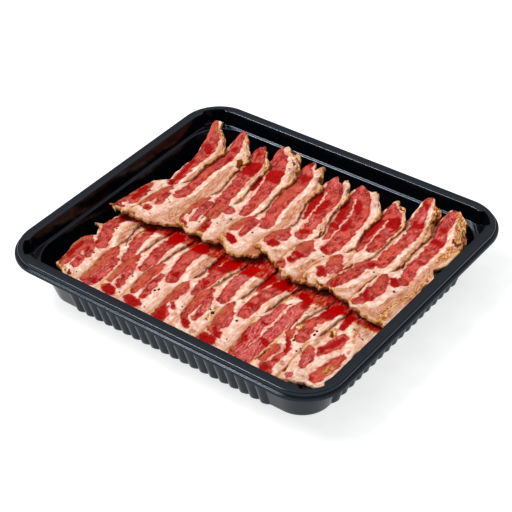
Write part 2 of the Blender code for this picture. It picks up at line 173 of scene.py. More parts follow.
# What each rasher shows, by kind, in mm on the tray's plan. A streak is the X, Y and width of
# each of its points, one after another, and a patch is one point. lean is meat, cut is fat
# across it, deep is dark saturated red on the meat, which at the front row's back ends is
# painted shade just in front of the back row's feet, rose is marbled meat, rust is orange
# meat, tan is clear rind fat, gold is crisp and burn is black.
STREAKS = {
    "rasher_back_01": {
        "lean": ((-137,115,9, -135,110,11, -129,100,17, -124,90,14, -122,78,11, -121,60,9, -119,45,8,
            -118,30,7), (-129,13,6, -128,5,10, -127,-3,10, -125,-12,8, -124,-17,4), (-131,-6,5, -131,-18,6),
            (-131,-25,5, -127,-26,3), (-117,-22,4, -115,-26,3)),
        "deep": ((-126,92,8, -120,85,5), (-125,70,4, -120,48,5, -119,30,5), (-128,8,5, -126,-10,6)),
        "rust": ((-136,115,8, -132,113,6),),
        "tan": ((-113,98,4, -110,84,4, -109.5,60,3, -109,40,3),),
        "gold": ((-122,107,4, -113,103,5, -108,94,4), (-127,113,3, -126,108,3), (-142,-31,4, -128,-31,4,
            -112,-33,4)),
        "burn": ((-111.5,31,1.6, -110.5,29,2.2), (-122,4,1.2, -121,-8,1.2)),
    },
    "rasher_back_02": {
        "lean": ((-104,117,6, -103.5,110,8, -102,102,11, -101,92,11, -101,80,12, -102,65,11.5, -101.5,50,10,
            -100,35,9.5, -98.5,18,9.5), (-116,24,8, -115,15,11, -115,5,11, -115.5,-5,9, -117,-14,5),
            (-107,13,3, -106,5,5, -105,-4,5), (-108,-14.5,7)),
        "deep": ((-99.5,93,3, -97,83,4), (-102,101,7), (-108,-15,5), (-119,23,3, -118,19,2)),
        "rust": ((-116,22,9, -115,-8,10), (-104,70,6, -103,50,6)),
        "tan": ((-88,80,3, -86,66,9, -85,50,11, -84,36,11, -85,22,8, -86,8,7, -85,-4,13, -83,-13,13),
            (-94,-19,5, -93,-26,7)),
        "gold": ((-98,114,3, -90,107,5, -83,99,4), (-88,89,5, -81,82,4), (-80,74,2, -76,55,2)),
        "burn": ((-88,90,4, -84,85,6, -80,80,4), (-79.5,75,2.4)),
    },
    "rasher_back_03": {
        "lean": ((-79,110,9, -77,104,13, -73,95,15, -71.5,88,15, -70,78,14, -68,65,12, -66,50,12,
            -64.5,40,11, -62,29,11, -59,18,9, -58,8,7), (-78,28,8, -77.5,18,11, -77,8,9, -76,-2,6,
            -75,-9,3), (-70,24,5, -68,14,7, -65,4,5, -64.5,-6,5), (-72,-12,2.5, -66,-14,2.5)),
        "deep": ((-75,86,20, -69,86,20), (-77,104,5), (-71,-12,2, -66,-14,2)),
        "rust": ((-78,26,9, -77,2,8), (-60,26,7, -57,8,8)),
        "rose": ((-69,10,6, -66,0,6), (-70,-8,5)),
        "tan": ((-62,95,2, -58,55,2),),
        "gold": ((-72,108,3, -65,104,4, -61,99,3), (-54,50,2, -52,36,2), (-78,-14,5, -70,-18,5, -62,-18,4)),
        "burn": ((-66,27,1.4, -64,22,1.6), (-63,15,1, -57,-6,1.4), (-72,5,1, -71.5,-3,1.6)),
    },
    "rasher_back_04": {
        "lean": ((-62.5,118,7, -61.5,112,9, -56,105,15, -52,98,16, -48.5,90,15, -46,80,13, -43,70,12,
            -41,60,12, -40,50,12, -39,40,10, -38.5,31,7), (-60,92,4, -57,80,5, -54,70,5, -52,62,3),
            (-56,27,9, -55.5,16,9, -54,6,7), (-50,27,8, -48,22,6), (-54,-1,8, -51,-7,9, -49,-14,6)),
        "cut": ((-59,95,2, -55,84,3, -51,72,3, -48,58,3, -45,44,3),),
        "deep": ((-50,89,17, -45,89,17), (-60,92,5, -52,62,5), (-53,-6,7, -47,-9,7)),
        "rust": ((-57,26,8, -55,8,8),),
        "rose": ((-47,8,6, -45,1,5), (-49,26,7)),
        "tan": ((-35,100,4, -33,88,3), (-30,72,2, -29,52,2)),
        "gold": ((-50,115,4, -40,114,5, -34,107,5, -31,98,3), (-27,60,1.6, -25,48,2), (-56,-17,3,
            -44,-19,3)),
        "burn": ((-45,110,1.2, -38,105,1.6), (-44,2,2), (-47,8,1.2)),
    },
    "rasher_back_05": {
        "lean": ((-26.5,113,8, -27,107,8, -24,102,13, -23,95,14, -22.5,80,14.5, -21,66,14, -19,50,12,
            -16.5,40,11, -12.5,30,10.5, -12,27,10), (-31,36,6, -31,28,10, -30.5,15,10, -29.5,4,7),
            (-22,28,5, -21,18,7, -20,8,6.5, -18,2,5), (-25,-6,6, -19,-9,6)),
        "cut": ((-25,30,1.2, -24.5,12,1.6, -24,0,1.2),),
        "deep": ((-26,100,7, -20,100,7), (-29,113,4, -23,112,4), (-26,-6,7, -18,-9,7)),
        "rust": ((-24,88,10, -22,60,10), (-31,34,8, -30,6,8)),
        "tan": ((-6.5,92,4, -5.5,78,6, -4,64,8, -2,50,11, 0,38,8, -2,28,5, -3,6,4, -2,-4,4), (-30,-14,6,
            -34,-12,4)),
        "gold": ((-15,111,3, -9,108,6, -5,101,4), (-9,114,5), (8,52,2, 9,45,3), (-37,-6,4, -31,-9,6,
            -26,-15,5, -20,-19,3), (-12,-22,2.5, -2,-19,2.5)),
        "burn": ((-9,101,3, -1,98,4), (-31,44,2.5, -29,47,1), (9,41,1.6)),
    },
    "rasher_back_06": {
        "lean": ((2.5,110,9, 5,105,13, 9,99,15, 12.5,93,15, 14.5,86,13, 15.5,78,13, 16.5,68,12.5,
            18.5,55,11.5, 20,45,11, 21,34,10), (-2,96,4, 0,89,7, 2,82,8, 4,74,7, 7,64,5, 9,55,3), (5.5,33,8,
            6,26,11, 6,18,12, 4.5,11,8, 4.5,6,4), (13,26,4, 13,18,5), (11,7.5,10)),
        "cut": ((4,94,3, 7,85,3, 9,75,3, 11,62,3, 14,50,3, 15,42,3),),
        "deep": ((13,82,8, 14,66,6), (20,40,8), (11,7.5,9), (0,95,6, 3,78,7, 8,58,4)),
        "rust": ((4,34,8, 4,12,8),),
        "rose": ((11,20,5, 10,14,5), (17,56,6, 20,50,5), (6,105,10)),
        "tan": ((27,60,3, 30,48,4), (19,-1,6, 24,4,4)),
        "gold": ((15,111,4, 20,109,4, 23,104,3), (33,48,3, 35,38,3), (-3,-5,3, 5,-4,5, 13,-8,4), (18,-12,6,
            27,-14,6)),
        "burn": ((24,88,1.2, 26,74,1), (33,46,1.6, 36,36,1.6), (1,-9,1.5, 5,-9,1), (18,-12,2, 24,-16,2)),
    },
    "rasher_back_07": {
        "lean": ((30,108,8, 33,103,13, 39.5,96,15.5, 44,88,15, 47,80,14, 48.5,70,14.5, 50,60,14.5,
            50.5,50,15, 50.5,40,14.5, 50,32,13), (24.5,97,5, 28,90,9, 31.5,82,9, 34.5,72,8, 36,62,8,
            38,52,6, 39,43,3), (32,32,5, 33,27,9, 35.5,20,13, 37,12,12, 37,5,9), (36.5,-2,5, 38,-4,5),
            (31,-10,7, 34,-14,6)),
        "cut": ((32,98,3, 36,88,3, 39,78,3, 40,66,3, 41.5,54,3, 42.5,42,3, 42.5,34,3), (31,2,2, 36,0,2)),
        "deep": ((33,61,7, 38,61,7), (36,97,6, 42,87,6), (26,94,6, 34,70,8), (44,74,5, 46,60,6), (46,29,7),
            (35,8,6, 40,6,6), (37,-3,5), (30,-12,4)),
        "rust": ((33,30,7, 34,18,8),),
        "tan": ((63,66,2, 66,54,2), (52,8,8, 50,-8,10), (29,24,2, 28,-6,2)),
        "gold": ((45,110,3, 53,105,5, 60,97,4), (66,42,2, 68,34,2), (36,-19,3, 50,-20,3)),
        "burn": ((28,24,1.4, 28.5,-14,1.4), (62,92,1, 61,76,1)),
    },
    "rasher_back_08": {
        "lean": ((65,104,6, 68,99,12, 74.5,92,13.5, 77.5,85,13, 78.5,76,12, 79,66,12, 80.5,56,11.5,
            81,51,10), (62.5,91,7, 64.5,82,9, 66,72,9, 67.5,62,8, 69.5,53,6, 71.5,44,3), (63,28,6,
            64.5,23,10, 67,15,11, 70,7,9), (63,3,7, 67,-2,7), (73,17,5, 75,8,5)),
        "cut": ((69,92,3, 71.5,82,3, 72,70,3, 73.5,58,3, 74.5,46,3), (61,7,1.4, 70,3,1.6)),
        "deep": ((73,90,13, 80,90,13), (63,88,7, 67,66,7), (75,68,6), (63,3,6, 67,-2,6)),
        "rust": ((64,26,8, 67,14,9), (57,-2,4, 57,-14,5)),
        "rose": ((79,79,8), (72,14,6, 71,2,6)),
        "tan": ((70,40,3, 72,30,4), (75,0,5, 74,22,3)),
        "gold": ((68,110,4, 75,105,4, 82,102,3), (85,50,4), (66,-12,3, 72,-14,5, 78,-16,4), (58,-10,3,
            59,-16,3)),
        "burn": ((85,88,1.4, 85,80,1), (68,-11,1.6, 77,-14,1.6), (73,106,1.4, 78,104,1.2)),
    },
    "rasher_back_09": {
        "lean": ((90,125,5, 91,117,7, 91.5,110,9, 92,103,12, 95,97,11.5, 97,89,12, 98,79,11, 98,68,9,
            96.5,59,11.5, 96,52,11, 97.5,44,11, 98,39,8), (91,36,8, 92,31,6), (82,39,6, 85,30,8.5,
            87.5,20,9.5, 87.5,10,10.5, 84.5,0,10.5, 81.5,-8,9)),
        "cut": ((88,96,1.5, 96,91.5,1.2, 102,91,1.5),),
        "deep": ((93,98,7, 99,98,7), (91,35,7), (80,3,3, 84,-8,3), (89,119,4, 93,117,4)),
        "rust": ((92,122,6), (95,60,7, 94,50,6)),
        "rose": ((93,107,8), (98,82,8)),
        "tan": ((109,84,3, 109,62,3, 110,48,3), (99,-1,4, 95,-9,5, 88,-14,4)),
        "gold": ((97,122,5, 103,116,7, 107,108,7, 107,100,4), (84,103,2, 86,95,2), (111,56,2, 112,44,2)),
        "burn": ((106,112,2, 108,103,3, 106,98,1.5), (77,40,1.6, 79,28,2, 80.5,18,2.2, 78,8,1.6)),
    },
    "rasher_back_10": {
        "lean": ((118.5,119,6, 117,112,11, 116,105,11, 118,98,11, 120,91,11, 120.5,80,11, 121.5,70,10,
            121.5,60,9.5, 120,52,9.5, 121,45,10, 123.5,38,9.5, 124.5,31,8), (116.5,27,8, 121,23,7),
            (108,29,4, 110,24,6, 114,15,9.5, 115,5,12, 115,-4,11, 113,-11,8, 110,-17,6)),
        "cut": ((111,88,1.6, 118,85.5,1.2, 125,85,1.2), (112,30,2, 118,20,2)),
        "deep": ((117,90,6, 124,89,6), (116,103,5, 119,102,5), (117,27,8, 121,23,7), (110,-2,4, 115,-9,5)),
        "rust": ((108,26,5, 112,12,4),),
        "rose": ((118,112,6), (119,96,6)),
        "tan": ((134,88,5, 135,76,8, 134,60,8, 135,45,11, 136,32,13, 136,15,14, 135,0,14, 134,-12,14),
            (120,-20,6, 132,-21,8)),
        "gold": ((122,121,4, 129,113,9, 135,104,14, 138,96,11), (133,88,5, 136,78,7, 134,68,5), (137,-14,5,
            138,-24,7), (140,16,3), (140,60,2, 139,30,3, 136,4,3, 134,-18,3)),
        "burn": ((131,95,3, 139,92,3), (132,103,2), (128,113,2), (138,100,2), (126,118,1.6), (104,20,3,
            103.5,6,3, 105,-8,2), (109,76,1.2, 112,55,1.6, 113,46,1.4)),
    },
    "rasher_front_01": {
        "lean": ((-122,-28,8, -123.5,-39,11, -121.5,-50,10.5, -117.5,-58,11, -113,-66,10, -111,-72,9),
            (-126,-68,5, -124,-75,10, -123,-86,12, -122,-96,10, -121,-107,8), (-117,-75,3, -113,-84,6,
            -111,-89,5), (-113,-95,6, -111,-104,7)),
        "cut": ((-116.5,-84,1.6, -116.5,-92,2, -115.5,-104,2),),
        "deep": ((-122,-29,9), (-125,-80,5, -123,-100,6), (-108,-115,7), (-112,-97,4)),
        "rust": ((-126,-72,6, -121,-70,4),),
        "rose": ((-113,-96,5, -110,-102,5),),
        "tan": ((-107,-34,6, -105,-45,8, -101,-57,8), (-104,-118,5)),
        "gold": ((-137,-50,3, -129,-51,3), (-128,-55,2, -125,-62,2), (-104,-31,3, -98,-44,2), (-119,-112,5,
            -114,-116,6)),
        "burn": ((-110,-112,2, -106,-117,3), (-123,-28,2, -117,-30,2)),
    },
    "rasher_front_02": {
        "lean": ((-93,-27,8, -91.5,-36,11, -89.5,-46,11, -86.5,-56,10, -83.5,-66,7.5, -81.5,-76,4),
            (-97.5,-67,5, -95.5,-73,9, -94.5,-82,11, -93.5,-92,11, -92,-102,8.5, -91,-114,7), (-87,-79,3,
            -85,-87,6, -84,-96,7, -83,-106,8, -84,-117,8)),
        "cut": ((-88,-84,1.4, -88,-98,1.6, -87.5,-110,2),),
        "deep": ((-93,-26,10), (-83,-112,6), (-84,-88,4)),
        "rust": ((-96,-70,7, -92,-108,8),),
        "rose": ((-85,-84,6, -84,-104,7),),
        "tan": ((-77,-34,4, -76,-48,3), (-99,-115,4)),
        "gold": ((-97,-32,2, -93,-45,1.6), (-98,-63,3)),
        "burn": ((-98,-63.5,2.6), (-96,-50,1.2, -94,-60,1)),
    },
    "rasher_front_03": {
        "lean": ((-66,-24,12, -65.5,-33,12.5, -64,-44,11.5, -63,-54,11, -61.5,-63,10, -60.5,-72,9,
            -61,-76,7), (-76.5,-65,5, -75,-73,8, -74.5,-82,9, -73.5,-92,7, -72.5,-104,5), (-69,-77,3,
            -66,-87,5.5, -64.5,-96,6, -62,-105,5), (-68,-113,9, -64,-115,10)),
        "deep": ((-69,-31,12, -62,-31,12), (-67,-113,9, -64,-115,9), (-66,-95,3), (-62,-105,4)),
        "rust": ((-76,-68,6, -74,-95,7),),
        "rose": ((-66,-84,5, -65,-92,4), (-63,-64,8)),
        "tan": ((-52,-34,3, -51,-54,4), (-57,-117,5)),
        "gold": ((-79,-24,6, -72,-22,4), (-80,-38,1.6, -76,-56,1.6)),
        "burn": ((-77,-26,2, -74,-22,2), (-80,-66,1, -79,-80,1)),
    },
    "rasher_front_04": {
        "lean": ((-41,-24,13, -40.5,-34,13, -39,-46,11.5, -37,-56,11, -34.5,-65,10.5, -33,-73,9),
            (-51.5,-63,5, -50,-69,8, -50.5,-78,9, -50,-88,10, -48.5,-97,9, -47,-104,5), (-42,-74,3,
            -40.5,-84,5.5, -39,-94,5.5, -37,-104,5), (-44,-113,9, -38,-114,10)),
        "deep": ((-41,-22,10), (-34,-66,7), (-43,-113,9, -38,-114,9), (-37,-103,4)),
        "rust": ((-50,-66,7, -48,-96,8), (-46,-30,3, -43,-46,3)),
        "rose": ((-40,-88,4),),
        "tan": ((-26,-30,5, -23.5,-40,8, -21,-50,9, -21,-59,7), (-32,-117,5)),
        "gold": ((-56,-22,5, -50,-21,4), (-54,-32,2, -53,-54,2)),
        "burn": ((-54,-26,2, -50,-22,2), (-55,-66,1, -54.5,-92,1)),
    },
    "rasher_front_05": {
        "lean": ((-20,-22,6, -18,-32,6, -16,-40,5, -14,-47,2.5), (-6,-25,12, -6,-36,12.5, -6,-48,11.5,
            -6.5,-58,11, -7.5,-67,8, -7,-76,5), (-20.5,-68,4.5, -18,-76,9, -17.5,-84,11, -18.5,-93,9,
            -19,-103,5), (-12,-97,2.5, -8,-101,3), (-15,-106,9, -11,-112,11, -10,-118,11)),
        "deep": ((-8,-35,15, -4,-35,15), (-20,-24,7, -15,-42,6), (-14,-107,8, -10,-116,9), (-7,-60,6),
            (-10,-99,3)),
        "rust": ((-21,-70,6, -18,-96,7), (-2,-36,4)),
        "tan": ((2,-32,2, 3.5,-46,2), (-2,-106,4)),
        "gold": ((0,-34,1, 1,-52,1),),
        "burn": ((-23.5,-80,1, -23,-96,1),),
    },
    "rasher_front_06": {
        "lean": ((12,-22,11, 11.5,-32,11.5, 13,-42,12, 14.5,-52,11.5, 16.5,-61,10.5, 17.5,-70,8),
            (1.5,-64,6, 2,-72,10, 2,-80,10.5, 2.5,-88,9.5, 4.5,-97,8, 6,-105,5), (9.5,-75,4, 12,-84,6,
            14,-93,5.5, 14.5,-102,4.5), (8,-107,4, 13,-111,5, 16,-114,4)),
        "deep": ((9,-22,6, 15,-22,6), (13,-97,4), (9,-108,4, 15,-112,4)),
        "rust": ((0,-72,6, 3,-94,7),),
        "rose": ((11,-30,8, 13,-50,9), (10,-77,4, 14,-92,5)),
        "tan": ((26,-34,4, 28,-46,5), (6,-114,3), (23,-114,6)),
        "gold": ((20,-80,3, 22,-92,4, 22,-98,3), (17,-86,4), (5,-112,2)),
        "burn": ((-4,-74,1, -2,-90,1, 4,-106,1),),
    },
    "rasher_front_07": {
        "lean": ((31,-22,6, 32,-34,6, 34,-44,4), (44,-23,12.5, 44,-34,12, 43.5,-44,12, 42.5,-54,11.5,
            42,-64,11.5, 42.5,-74,10), (27,-69,5, 29,-77,8, 30,-85,9.5, 31.5,-92,10, 33.5,-98,9), (35,-79,3,
            37.5,-87,4.5, 39.5,-95,4.5), (34,-103,7, 40,-106,8), (33,-115,9, 40,-115,10)),
        "cut": ((32,-100.5,1.4, 40,-102.5,1.4),),
        "deep": ((40,-25,10, 48,-25,10), (31,-26,7, 34,-40,5), (40,-62,6), (33,-115,9, 40,-115,9),
            (35,-102,4, 41,-107,5)),
        "rust": ((27,-72,6, 31,-94,7),),
        "rose": ((36,-82,4, 38,-92,4), (44,-46,8)),
        "tan": ((27,-40,3, 29,-50,5), (55,-52,3, 55,-66,3), (47,-116,5)),
        "gold": ((29,-47,4, 30,-56,5, 33,-63,3),),
        "burn": ((28,-48,1.4, 28,-58,1.2), (24,-74,1, 25,-92,1), (29,-104,1.4)),
    },
    "rasher_front_08": {
        "lean": ((62,-46,4, 62,-56,7, 62,-66,7.5, 60.5,-75,8, 60.5,-84,12, 61.5,-92,13, 63,-101,9.5,
            64,-109,7.5, 64,-117,6), (73,-31,7, 74,-38,10, 74,-46,12, 75,-56,12.5, 75.5,-66,12.5, 76,-76,12,
            76,-86,12, 75,-95,10.5, 74,-104,11.5, 74,-118,12), (65,-24,8, 70,-27,6)),
        "cut": ((67,-46,2, 68,-62,2, 68,-76,2.4, 69.5,-92,2.4, 68.5,-102,2),),
        "deep": ((74,-33,7, 75,-38,7), (74,-90,6, 80,-93,6), (63,-74,5), (61,-98,7), (55,-86,4, 57,-94,4)),
        "rose": ((62,-50,8, 62,-70,8, 61,-88,12, 64,-110,9), (74,-42,10, 76,-70,14, 75,-104,14, 74,-118,12),
            (66,-25,9)),
        "tan": ((59,-28,4, 57.5,-42,4, 56,-58,4), (84,-32,4, 84,-42,4)),
        "gold": ((79,-24,7, 85,-28,5), (58,-30,1.6, 59,-44,1.6), (84,-46,3)),
        "burn": ((81,-50,1.2, 82,-70,1.4, 83,-96,1.4), (56,-70,1.4), (84,-31,1.6, 84,-36,1), (64.5,-42,2),
            (57,-108,1, 62,-116,1.4)),
    },
    "rasher_front_09": {
        "lean": ((98,-24,12, 97,-32,12.5, 97,-40,12, 95,-47,10, 91.5,-52,8, 94,-60,10, 96,-68,9.5,
            97,-73,7), (85,-66,4, 86,-72,6, 89,-78,4), (87,-76,3, 92,-82,3, 97,-90,4), (88,-92,6, 87,-100,7,
            87,-109,6), (96,-95,4, 96,-103,5, 95,-110,5), (93,-115,8, 97,-117,8)),
        "deep": ((97,-24,14, 97,-36,13), (88,-77,3, 97,-91,4), (96,-104,4), (94,-116,8)),
        "rust": ((85,-64,6, 88,-78,6), (88,-90,8, 87,-110,8), (89,-51,5)),
        "rose": ((95,-100,4),),
        "tan": ((108,-50,3, 108,-66,3), (92,-86,3, 91,-100,3), (102,-104,6)),
        "gold": ((84,-50,4, 86,-56,6, 88,-62,4), (83,-80,2, 84,-94,2)),
        "burn": ((84,-100,1.4, 83.5,-114,1.6), (82,-54,1.2, 84,-66,1), (91,-71,1.6, 94,-78,2)),
    },
    "rasher_front_10": {
        "lean": ((112,-26,7, 114,-36,6, 116,-44,4.5), (123,-54,8.5, 123,-60,11, 121,-67,9, 119,-75,7.5,
            119.5,-79,4), (109,-77,3, 112,-83,8, 115,-90,9, 116.5,-98,5), (114.5,-112,5), (134,-71,5,
            134,-80,8.5, 133,-92,9, 131,-102,9)),
        "deep": ((112,-25,8, 116,-42,5), (124,-55,6, 118,-74,5), (104,-26,10), (128,-104,4)),
        "rust": ((133,-74,7, 134,-86,9, 131,-102,10),),
        "rose": ((124,-56,9, 121,-66,8), (114,-112,6), (113,-86,5, 116,-94,5)),
        "tan": ((122,-30,4, 132,-52,4), (130,-28,4, 138,-44,5), (136,-64,4), (109,-56,3, 110,-74,3),
            (124,-106,5), (134,-72,7, 134,-86,10, 131,-102,10)),
        "gold": ((112,-49,6, 115,-55,6), (120,-28,4, 136,-30,5), (134,-86,5, 134,-92,5), (122,-34,2,
            134,-54,2)),
        "burn": ((112,-51,2, 115,-56,2), (108,-106,2.6, 108.5,-112,2.2), (124,-38,1, 138,-48,1)),
    },
}

# Larger specks of charred seasoning, as X, Y and width in mm.
SPECKS = (
    (-98, 88, 1.2), (-100, 5, 1.6), (-97, 3, 2.2), (-98, -2, 1.2), (-40, 15, 2.6), (-38, 8, 1.6),
    (-13, 10, 2.6), (53, 20, 2.2), (51, 8, 1.8), (99, 26, 2.4), (126.5, 13.5, 3.2),
    (124.5, 22, 2.2), (-114, -48, 2.0), (-108, -84, 2.4), (-104, -92, 1.4), (-103, -111, 2.0),
    (-60, -90, 2.4), (-56, -111, 2.0), (-32, -90, 3.2), (-34, -93, 3.0), (-34, -98, 2.0),
    (-28, -113, 1.8), (2, -55, 2.4), (-3, -96, 2.0), (18, -86, 2.4), (22, -88.5, 4.4),
    (22.5, -97, 2.8), (43.5, -85, 2.8), (50, -106, 2.2), (98, -54, 2.2), (102.5, -59, 3.2),
    (103, -63, 3.8), (94, -78, 2.0), (104, -83, 2.4), (107, -86, 1.8), (103, -87, 2.6),
    (-10, 45, 1.2), (-39, 98, 1.4), (103, 51, 1.8), (69, -31, 1.4), (65, -43, 1.8),
)
FINE_SPECKS = 190

# How far apart the rashers lie in the material's grain, so that no two share it, in mm.
STRAND_SEED = 20.0
# How far the meat reaches past the outlines listed for it, in mm.
LEAN_SPREAD = 0.55

# The stack below: its layers, its sides in X and Y, and how square its plan is, from 1 for an
# ellipse to 0 for a rectangle.
PILE_LAYERS = 5
PILE_SIDES = (-0.119, 0.138, -0.117, 0.096)
PILE_CORNERS = 0.30

# Studio. The sky is dim near the horizon and bright overhead, as under a large soft box.
SKY_RISE = {"From Min": 0.35, "From Max": 0.95, "To Min": 0.34, "To Max": 1.25}
# Each light's strength, its width in degrees and where it comes from. Both come from the front
# left, off the line that the flat rim would mirror, and the narrow one draws the bright lines
# along the rim's rounded edges.
LIGHTS = {
    "key": (2.2, 24.0, (-0.58, -0.34, 1.0)),
    "edge": (0.45, 6.0, (-0.49, -0.20, 0.85)),
}
VIEW_GAMMA = 0.86
# What a level patch of bacon shows is its base colour times STUDIO_LIGHT plus HAZE, its gloss.
STUDIO_LIGHT = 1.36
HAZE = 0.032
FLOOR_GLOW = 2.35


def smooth(value):
    """0 below 0, 1 above 1 and an even rise between."""
    value = np.clip(value, 0.0, 1.0)
    return value * value * (3.0 - 2.0 * value)


def waves(x, y, size, seed):
    """Gentle noise about zero, mostly within 1, from sines that cross; size is its pitch."""
    dice = np.random.default_rng(seed)
    total = 0.0
    for _ in range(7):
        turn, phase = dice.uniform(0.0, 2.0 * math.pi, 2)
        pitch = size * dice.uniform(0.7, 1.4)
        total = total + np.sin((x * math.cos(turn) + y * math.sin(turn)) * 2 * math.pi / pitch + phase)
    return total / 2.6


def through(stations, values, y):
    """The path through the values at the stations, its corners eased, level beyond them."""
    shifts = SEAM_EASE * np.arange(-3, 4)
    return np.mean([np.interp(y + shift, stations[::-1], values[::-1]) for shift in shifts], axis=0)


def eased(points, places):
    """Values at the places, along a line through the points with its corners eased."""
    knots = np.array(points, float)
    spread = np.linspace(-0.05, 0.05, 7)
    return np.mean([np.interp(places + shift, knots[:, 0], knots[:, 1]) for shift in spread], axis=0)


def crowded(count, share):
    """Places from 0 to 1, this share of their spread drawn towards both ends."""
    even = np.linspace(0.0, 1.0, count)
    return (1.0 - share) * even + share * (1.0 - np.cos(math.pi * even)) / 2


def vectors(*parts):
    """The three parts side by side, each spread to the shape that they share."""
    return np.stack(np.broadcast_arrays(*parts), -1)


# --- Meshes -----------------------------------------------------------------------


def linked(name, points, faces, finish):
    """A smooth mesh of these points and faces, in this finish, linked into the scene."""
    mesh = bpy.data.meshes.new(name)
    mesh.from_pydata(points, [], faces)
    mesh.shade_smooth()
    mesh.materials.append(finish)
    made = bpy.data.objects.new(name, mesh)
    bpy.context.scene.collection.objects.link(made)
    return made


def skin(name, rings, finish, fields):
    """A closed skin over rings of points, each ring closed, with a face over each end.

    rings is an array of (ring, point, xyz). fields are numbers for each point, by name.
    Its OFBake map runs round the rings in U and along them in V.
    """
    count, around = rings.shape[:2]
    index = np.arange(count * around).reshape(count, around)
    after = np.roll(index, -1, axis=1)
    quads = np.stack([index[:-1], after[:-1], after[1:], index[1:]], axis=-1).reshape(-1, 4)
    points = rings.reshape(-1, 3)
    corner = points[quads]
    volume = np.einsum("ij,ij->", corner[:, 0], np.cross(corner[:, 1], corner[:, 2]))
    faces = quads.tolist()
    caps = [index[0][::-1].tolist(), index[-1].tolist()]
    v = (0.02 + 0.80 * np.arange(count) / (count - 1))[:, None]
    u = (np.arange(around + 1) / around)[None, :]
    places = np.stack(np.broadcast_arrays(u, v), -1)
    uv = np.stack([places[:-1, :-1], places[:-1, 1:], places[1:, 1:], places[1:, :-1]], axis=2)
    uv = uv.reshape(-1, 4, 2)
    if volume < 0:
        faces = [face[::-1] for face in faces]
        caps = [face[::-1] for face in caps]
        uv = uv[:, ::-1]
    flat = [uv.reshape(-1, 2)]
    for number, cap in enumerate(caps):
        plan = points[cap][:, :2]
        span = np.ptp(plan, axis=0).max() + 1e-9
        flat.append(np.array([0.02 + 0.5 * number, 0.84]) + 0.14 * (plan - plan.min(0)) / span)
    made = linked(name, points.tolist(), faces + caps, finish)
    layer = made.data.uv_layers.new(name="OFBake")
    layer.data.foreach_set("uv", np.concatenate(flat).astype(np.float32).ravel())
    for label, values in fields.items():
        values = np.asarray(values, np.float32).reshape(len(points), -1)
        kind, key = ("FLOAT", "value") if values.shape[1] == 1 else ("FLOAT_VECTOR", "vector")
        made.data.attributes.new(label, kind, "POINT").data.foreach_set(key, values.ravel())
    return made


def piece(made, slot, *nodes):
    """Makes the object a piece that rides on the part and stands for these CAD nodes."""
    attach(made, "root")
    if nodes:
        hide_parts(*nodes)


# --- Materials --------------------------------------------------------------------


class Nodes:
    """Builds one material's node tree: each call adds a node and returns its output."""

    def __init__(self, name):
        self.material = bpy.data.materials.new(name)
        self.material.use_nodes = True
        self.tree = self.material.node_tree
        self.shader = self.tree.nodes["Principled BSDF"]

    def put(self, socket, value):
        if isinstance(value, bpy.types.NodeSocket):
            self.tree.links.new(value, socket)
        else:
            socket.default_value = value

    def add(self, kind, output=0, settings=(), **inputs):
        node = self.tree.nodes.new(kind)
        for key, value in dict(settings).items():
            setattr(node, key, value)
        for key, value in inputs.items():
            name = key.replace("_", " ")
            socket = node.inputs[int(key[1:])] if key[1:].isdigit() else node.inputs[name]
            self.put(socket, value)
        return node.outputs[output]

    def attribute(self, name, output="Fac"):
        return self.add("ShaderNodeAttribute", output, {"attribute_name": name})

    def math(self, operation, a, b=0.0):
        return self.add("ShaderNodeMath", 0, {"operation": operation}, i0=a, i1=b)

    def times(self, a, b):
        return self.math("MULTIPLY", a, b)

    def plus(self, a, b):
        return self.math("ADD", a, b)

    def rise(self, value, low, high):
        """0 at low and 1 at high, with an even rise between."""
        return self.add("ShaderNodeMapRange", 0, {"interpolation_type": "SMOOTHSTEP"},
                        Value=value, From_Min=low, From_Max=high)

    def range(self, value, low, high):
        """From low to high over the middle of a noise."""
        return self.add("ShaderNodeMapRange", 0, {}, Value=value, From_Min=0.3, From_Max=0.7,
                        To_Min=low, To_Max=high)

    def blend(self, factor, a, b):
        return self.add("ShaderNodeMix", 2, {"data_type": "RGBA"}, i0=factor, i6=a, i7=b)

    def noise(self, vector, scale, detail):
        return self.add("ShaderNodeTexNoise", 0, {}, Vector=vector, Scale=scale, Detail=detail,
                        Roughness=0.55)

    def between(self, factor, low, high):
        """From low to high, both given as display values."""
        return self.blend(factor, lit(*low), lit(*high))

    def wash(self, colour, amount, factor, shown):
        """The colour with at most this amount of another, given as display values."""
        return self.blend(self.times(factor, amount), colour, lit(*shown))

    def stretched(self, vector, scale):
        return self.add("ShaderNodeMapping", 0, {}, Vector=vector, Scale=scale)

    def parts(self, vector):
        node = self.tree.nodes.new("ShaderNodeSeparateXYZ")
        self.put(node.inputs[0], vector)
        return node.outputs

    def bump(self, height, distance, strength, normal=None):
        node = self.tree.nodes.new("ShaderNodeBump")
        self.put(node.inputs["Height"], height)
        node.inputs["Distance"].default_value = distance
        node.inputs["Strength"].default_value = strength
        if normal is not None:
            self.put(node.inputs["Normal"], normal)
        return node.outputs[0]

    def finish(self, colour, roughness, normal, specular):
        self.put(self.shader.inputs["Base Color"], colour)
        self.put(self.shader.inputs["Roughness"], roughness)
        self.put(self.shader.inputs["Normal"], normal)
        self.shader.inputs["Specular IOR Level"].default_value = specular
        return self.material


def tone(red, green, blue):
    """A colour from its 0 to 255 display values."""
    return (*[((c / 255 + 0.055) / 1.055) ** 2.4 if c > 10 else c / 3294.6
              for c in (red, green, blue)], 1.0)


def lit(red, green, blue):
    """The base colour that shows as these display values under the studio's light."""
    before_view = tone(*[255 * (c / 255) ** VIEW_GAMMA for c in (red, green, blue)])
    return (*[max((c - HAZE) / STUDIO_LIGHT, 0.0005) for c in before_view[:3]], 1.0)


